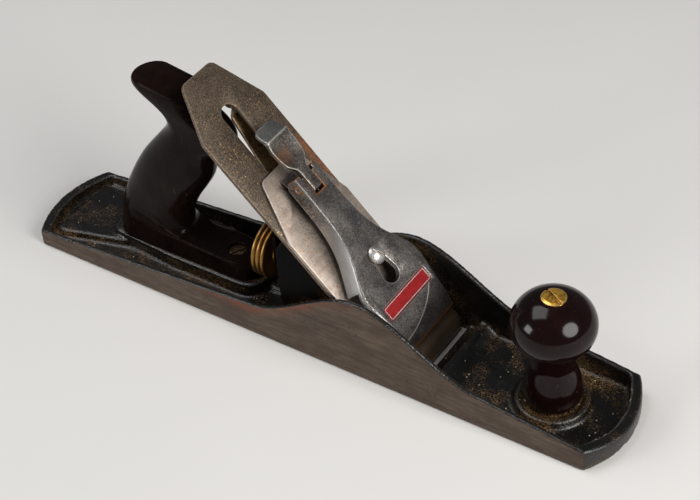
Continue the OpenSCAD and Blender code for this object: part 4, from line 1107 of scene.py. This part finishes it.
def makeLeverCap():
    s = capSet
    stations = [15.2, 15.5, 15.9, 16.5, 17.1, 17.3, 18, 19, 20, 21, 21.9, 22.1, *range(23, 31), 31.2, 32, 33,
                36, 40, 44, 46, 48, 50, 52, 54, 56.4, 56.6, *range(58, 119, 2), 119]
    rings = [capRing(s["low"], True)] + [capRing(u) for u in stations] + [capRing(s["end"], True)]
    cap = loft("leverCap", rings)

    # pear shaped keyhole
    keyhole = rodCutter(1.0, 0, 40, sides=96)
    edit(keyhole, "VERT")
    shape = bmesh.from_edit_mesh(keyhole.data)
    for vert in shape.verts:
        low = vert.co.x < -0.00001
        radius = s["keyWide"] if low else s["keyNarrow"]
        vert.co.x = vert.co.x * radius - (s["keyTravel"] * mm if low else 0)
        vert.co.y *= radius
    bmesh.update_edit_mesh(keyhole.data)
    leaveEdit()
    place(keyhole, shift(s["keyhole"]))
    carve(cap, keyhole)

    for start, half in (s["notch"], s["mouth"]):
        carve(cap, boxCutter((start, -half, 0), (125, half, 30)))
    pin = shift(*s["pin"]) @ Matrix.Rotation(math.radians(90), 4, "X")
    carve(cap, rodCutter(s["pinBore"], -20, 20, pin, 32))
    carve(cap, rodCutter(s["rivetBore"], 0, 15.3, shift(s["rivet"]), 32))

    # sunken panel with a thin raised line inside its edge
    deep, wide = s["panelHalf"]
    panel = boxCutter((s["panel"] - deep, -wide, s["panelFloor"]), (s["panel"] + deep, wide, 20))
    edit(panel, "EDGE")
    shape = bmesh.from_edit_mesh(panel.data)
    for edge in shape.edges:
        a, b = edge.verts
        edge.select_set(abs(a.co.z - b.co.z) > 0.001)
    bmesh.update_edit_mesh(panel.data)
    bpy.ops.mesh.bevel(offset=s["panelCorner"] * mm, segments=6)
    leaveEdit()
    carve(cap, panel)
    joinFlat(cap, 0.5)
    bevelEdges(cap, s["edge"] * mm, 2, 38)

    def onPanel(spot, way):
        level = abs(spot.z - s["panelFloor"] * mm) < 0.00003 and way.z > 0.99
        return level and abs(spot.x - s["panel"] * mm) < 0.0043

    edit(cap)
    selectFaces(cap, onPanel)
    for inset, rise in ((s["lineGap"], s["lineHeight"]), (s["lineWidth"], -s["lineHeight"])):
        bpy.ops.mesh.inset(thickness=inset * mm)
        bpy.ops.mesh.extrude_region_move(TRANSFORM_OT_translate={"value": (0, 0, rise * mm)})
    leaveEdit()
    cap.data.materials.clear()
    cap.data.materials.append(capNickel)
    paintFaces(cap, redEnamel, onPanel)
    place(cap, slopeMatrix)
    finish(cap, bodyOf["lever_cap"], "nickel", None, "lever_cap", angle=32)
    print("lever cap:", len(cap.data.polygons), "faces")


makeLeverCap()


camSet = {
    "pin": (113.8, 13.2), "pinBore": 1.65, "round": 4.4, "throw": 0.9, "width": 3.0, "edge": 0.3,
    "half": [(-5.9, 2.7), (-5.2, 3.1), (3, 3.15), (5, 3.15), (7, 3.3), (8.5, 4.2), (10.6, 6.0), (12.2, 7.2),
             (14.5, 7.8), (17, 8.25), (22, 8.5), (27.4, 8.05), (31.5, 7.8), (33.2, 7.2), (34.2, 6.2),
             (34.8, 4.9), (35, 4.0)],
    "top": [(-5.9, 1.8), (-5.5, 2.75), (-4.9, 3.35), (-3, 3.56), (0, 3.58), (5.5, 3.56), (10.5, 3.7),
            (16, 3.6), (22.5, 3.6), (25, 3.9), (26.4, 4.5), (27.4, 4.6), (28.4, 4.0), (30, 2.9), (32.5, 1.4),
            (35, -0.2)],
    "under": [(-5.9, 1.2), (-5, 0), (4, -0.9), (6, -0.3), (10.5, 1.2), (22, 1.3), (27, 1.7), (30, 0.7),
              (32.5, -0.7), (35, -1.6)],
    "dish": [(9, 0), (12, 0.25), (15, 0.85), (22, 0.9), (24.5, 0.4), (26, 0), (35, 0)],
}


def makeCamLever():
    s = camSet
    stations = [-5.9, -5.7, -5.5, -5.2, -4.9, -4, -3, -1, 1.5, 4] + [5 + 0.5 * k for k in range(48)]
    stations += [29, 29.8, 30.6, 31.4, 32.2, 32.8, 33.3, 33.8, 34.2, 34.5, 34.7, 34.85, 35]
    shares = [k / 8 for k in range(-8, 9)]
    rings = []
    for u in stations:
        half, top, under = flow(s["half"], u), flow(s["top"], u), straight(s["under"], u)
        dish = flow(s["dish"], u)
        upper = [(u, v * half, top - dish * (1 - v * v) - 0.25 * (v * v if u > 28 else 0)) for v in shares]
        lower = [(u, v * half, under) for v in reversed(shares)]
        rings.append(upper + lower)
    lever = loft("camLever", [lidOf(rings[0])] + rings + [lidOf(rings[-1])])
    across = Matrix.Rotation(math.radians(90), 4, "X")
    carve(lever, rodCutter(s["round"], -s["width"], s["width"], shift(0, -s["throw"]) @ across, 64), "UNION")
    carve(lever, rodCutter(s["pinBore"], -20, 20, across, 32))
    joinFlat(lever, 0.4)
    bevelEdges(lever, s["edge"] * mm, 2, 42)
    place(lever, slopeMatrix @ shift(*s["pin"]))
    finish(lever, bodyOf["cam_lever"], "nickel", camNickel, "cam_lever", angle=35)
    print("cam lever:", len(lever.data.polygons), "faces")


makeCamLever()


lateralSet = {
    "rivet": 92.0, "rivetBore": 2.05, "discPlace": -8, "discBore": 1.55, "low": -5.01, "thick": 1.8,
    "drop": 4.4, "lean": 4.0, "edge": 0.25, "bend": 5.0, "bendFrom": 14.0,
    "half": [(-12.4, 0.4), (-12, 1.9), (-11, 3.3), (-9.6, 4.2), (-8, 4.7), (-4, 5.4), (2, 5.4), (14, 5.1),
             (59, 4.5), (70, 4.3), (75, 3.9), (76.6, 3.2), (77.4, 2.2), (77.9, 0.6)],
    "twist": [(68, 0), (69, 7), (71, 32), (73, 62), (75, 84), (78, 90)],
    "step": [(7.7, 0), (9, 0.3), (10.5, 0.75), (11.9, 1)],
}


def makeLateralLever():
    s = lateralSet
    stations = [-12.4, -12.2, -12, -11.5, -11, -10.3, -9.6, -8.8, -8, -6, -4, 0, 4, 7.7, 8.6, 9.5, 10.3, 11.1,
                11.9, 20, 30, 40, 50, 59, 64] + [68 + 0.5 * k for k in range(17)]
    stations += [76.4, 76.8, 77.1, 77.4, 77.6, 77.8, 77.9]
    section = [(k / 2, 0.5) for k in range(-2, 3)] + [(k / 2, -0.5) for k in range(2, -3, -1)]
    rings = []
    for u in stations:
        half, height = flow(s["half"], u), s["low"] + s["thick"] / 2 - s["drop"] * straight(s["step"], u)
        turn = math.radians(straight(s["twist"], u))
        aside = -max(0, u - s["bendFrom"]) * math.tan(math.radians(s["bend"]))
        ring = []
        for v, h in section:
            y, z = v * half, h * s["thick"]
            ring.append((u, aside + y * math.cos(turn) - z * math.sin(turn),
                         height + y * math.sin(turn) + z * math.cos(turn)))
        rings.append(ring)
    lever = loft("lateralLever", [lidOf(rings[0])] + rings + [lidOf(rings[-1])])
    carve(lever, rodCutter(s["rivetBore"], -12, 6, None, 32))
    carve(lever, rodCutter(s["discBore"], -12, 6, shift(s["discPlace"]), 32))
    bevelEdges(lever, s["edge"] * mm, 2, 50)
    lean = Matrix.Rotation(math.radians(-s["lean"]), 4, "Z")
    place(lever, slopeMatrix @ shift(s["rivet"]) @ lean)
    finish(lever, bodyOf["lateral_lever"], "tarnished_steel", brownSteel, "lateral_lever", angle=35)


makeLateralLever()


# small pieces that keep the CAD shape

for nodeName, pieceName, slotName, material, bevel in [
    ("plane_iron", "planeIron", "iron_steel", ironSteel, 0.3),
    ("cap_iron", "capIron", "cap_iron_steel", capIronSteel, 0.25),
    ("lever_cap_screw", "leverCapScrew", "nickel", brightNickel, 0.2),
    ("depth_nut", "depthWheel", "brass", oldBrass, 0.15),
    ("tote_toe_screw", "toeScrew", "tarnished_steel", brownSteel, 0.25),
    ("frog", "frogCasting", "japanning", japanning, 0.5),
    ("yoke_lever", "yokeLever", "japanning", japanning, 0.3),
]:
    dressed(nodeName, pieceName, slotName, material, bevel)

# the knob's nut, its slot turned from the way the solid has it
knobNut = copyOf("knob_nut", "knobNut")
centre = shift(knobSet["place"])
place(knobNut, centre @ Matrix.Rotation(math.radians(knobSet["slotTurn"]), 4, "Z") @ centre.inverted())
bevelEdges(knobNut, 0.2 * mm)
finish(knobNut, "body", "brass", oldBrass, "knob_nut")

# the rest keep their CAD mesh
for nodeName, node in nodes.items():
    if not node.hide_render:
        node.data.materials.clear()
        node.data.materials.append(oldBrass if nodeName == "tote_nut" else dullSteel)
print("small pieces dressed")
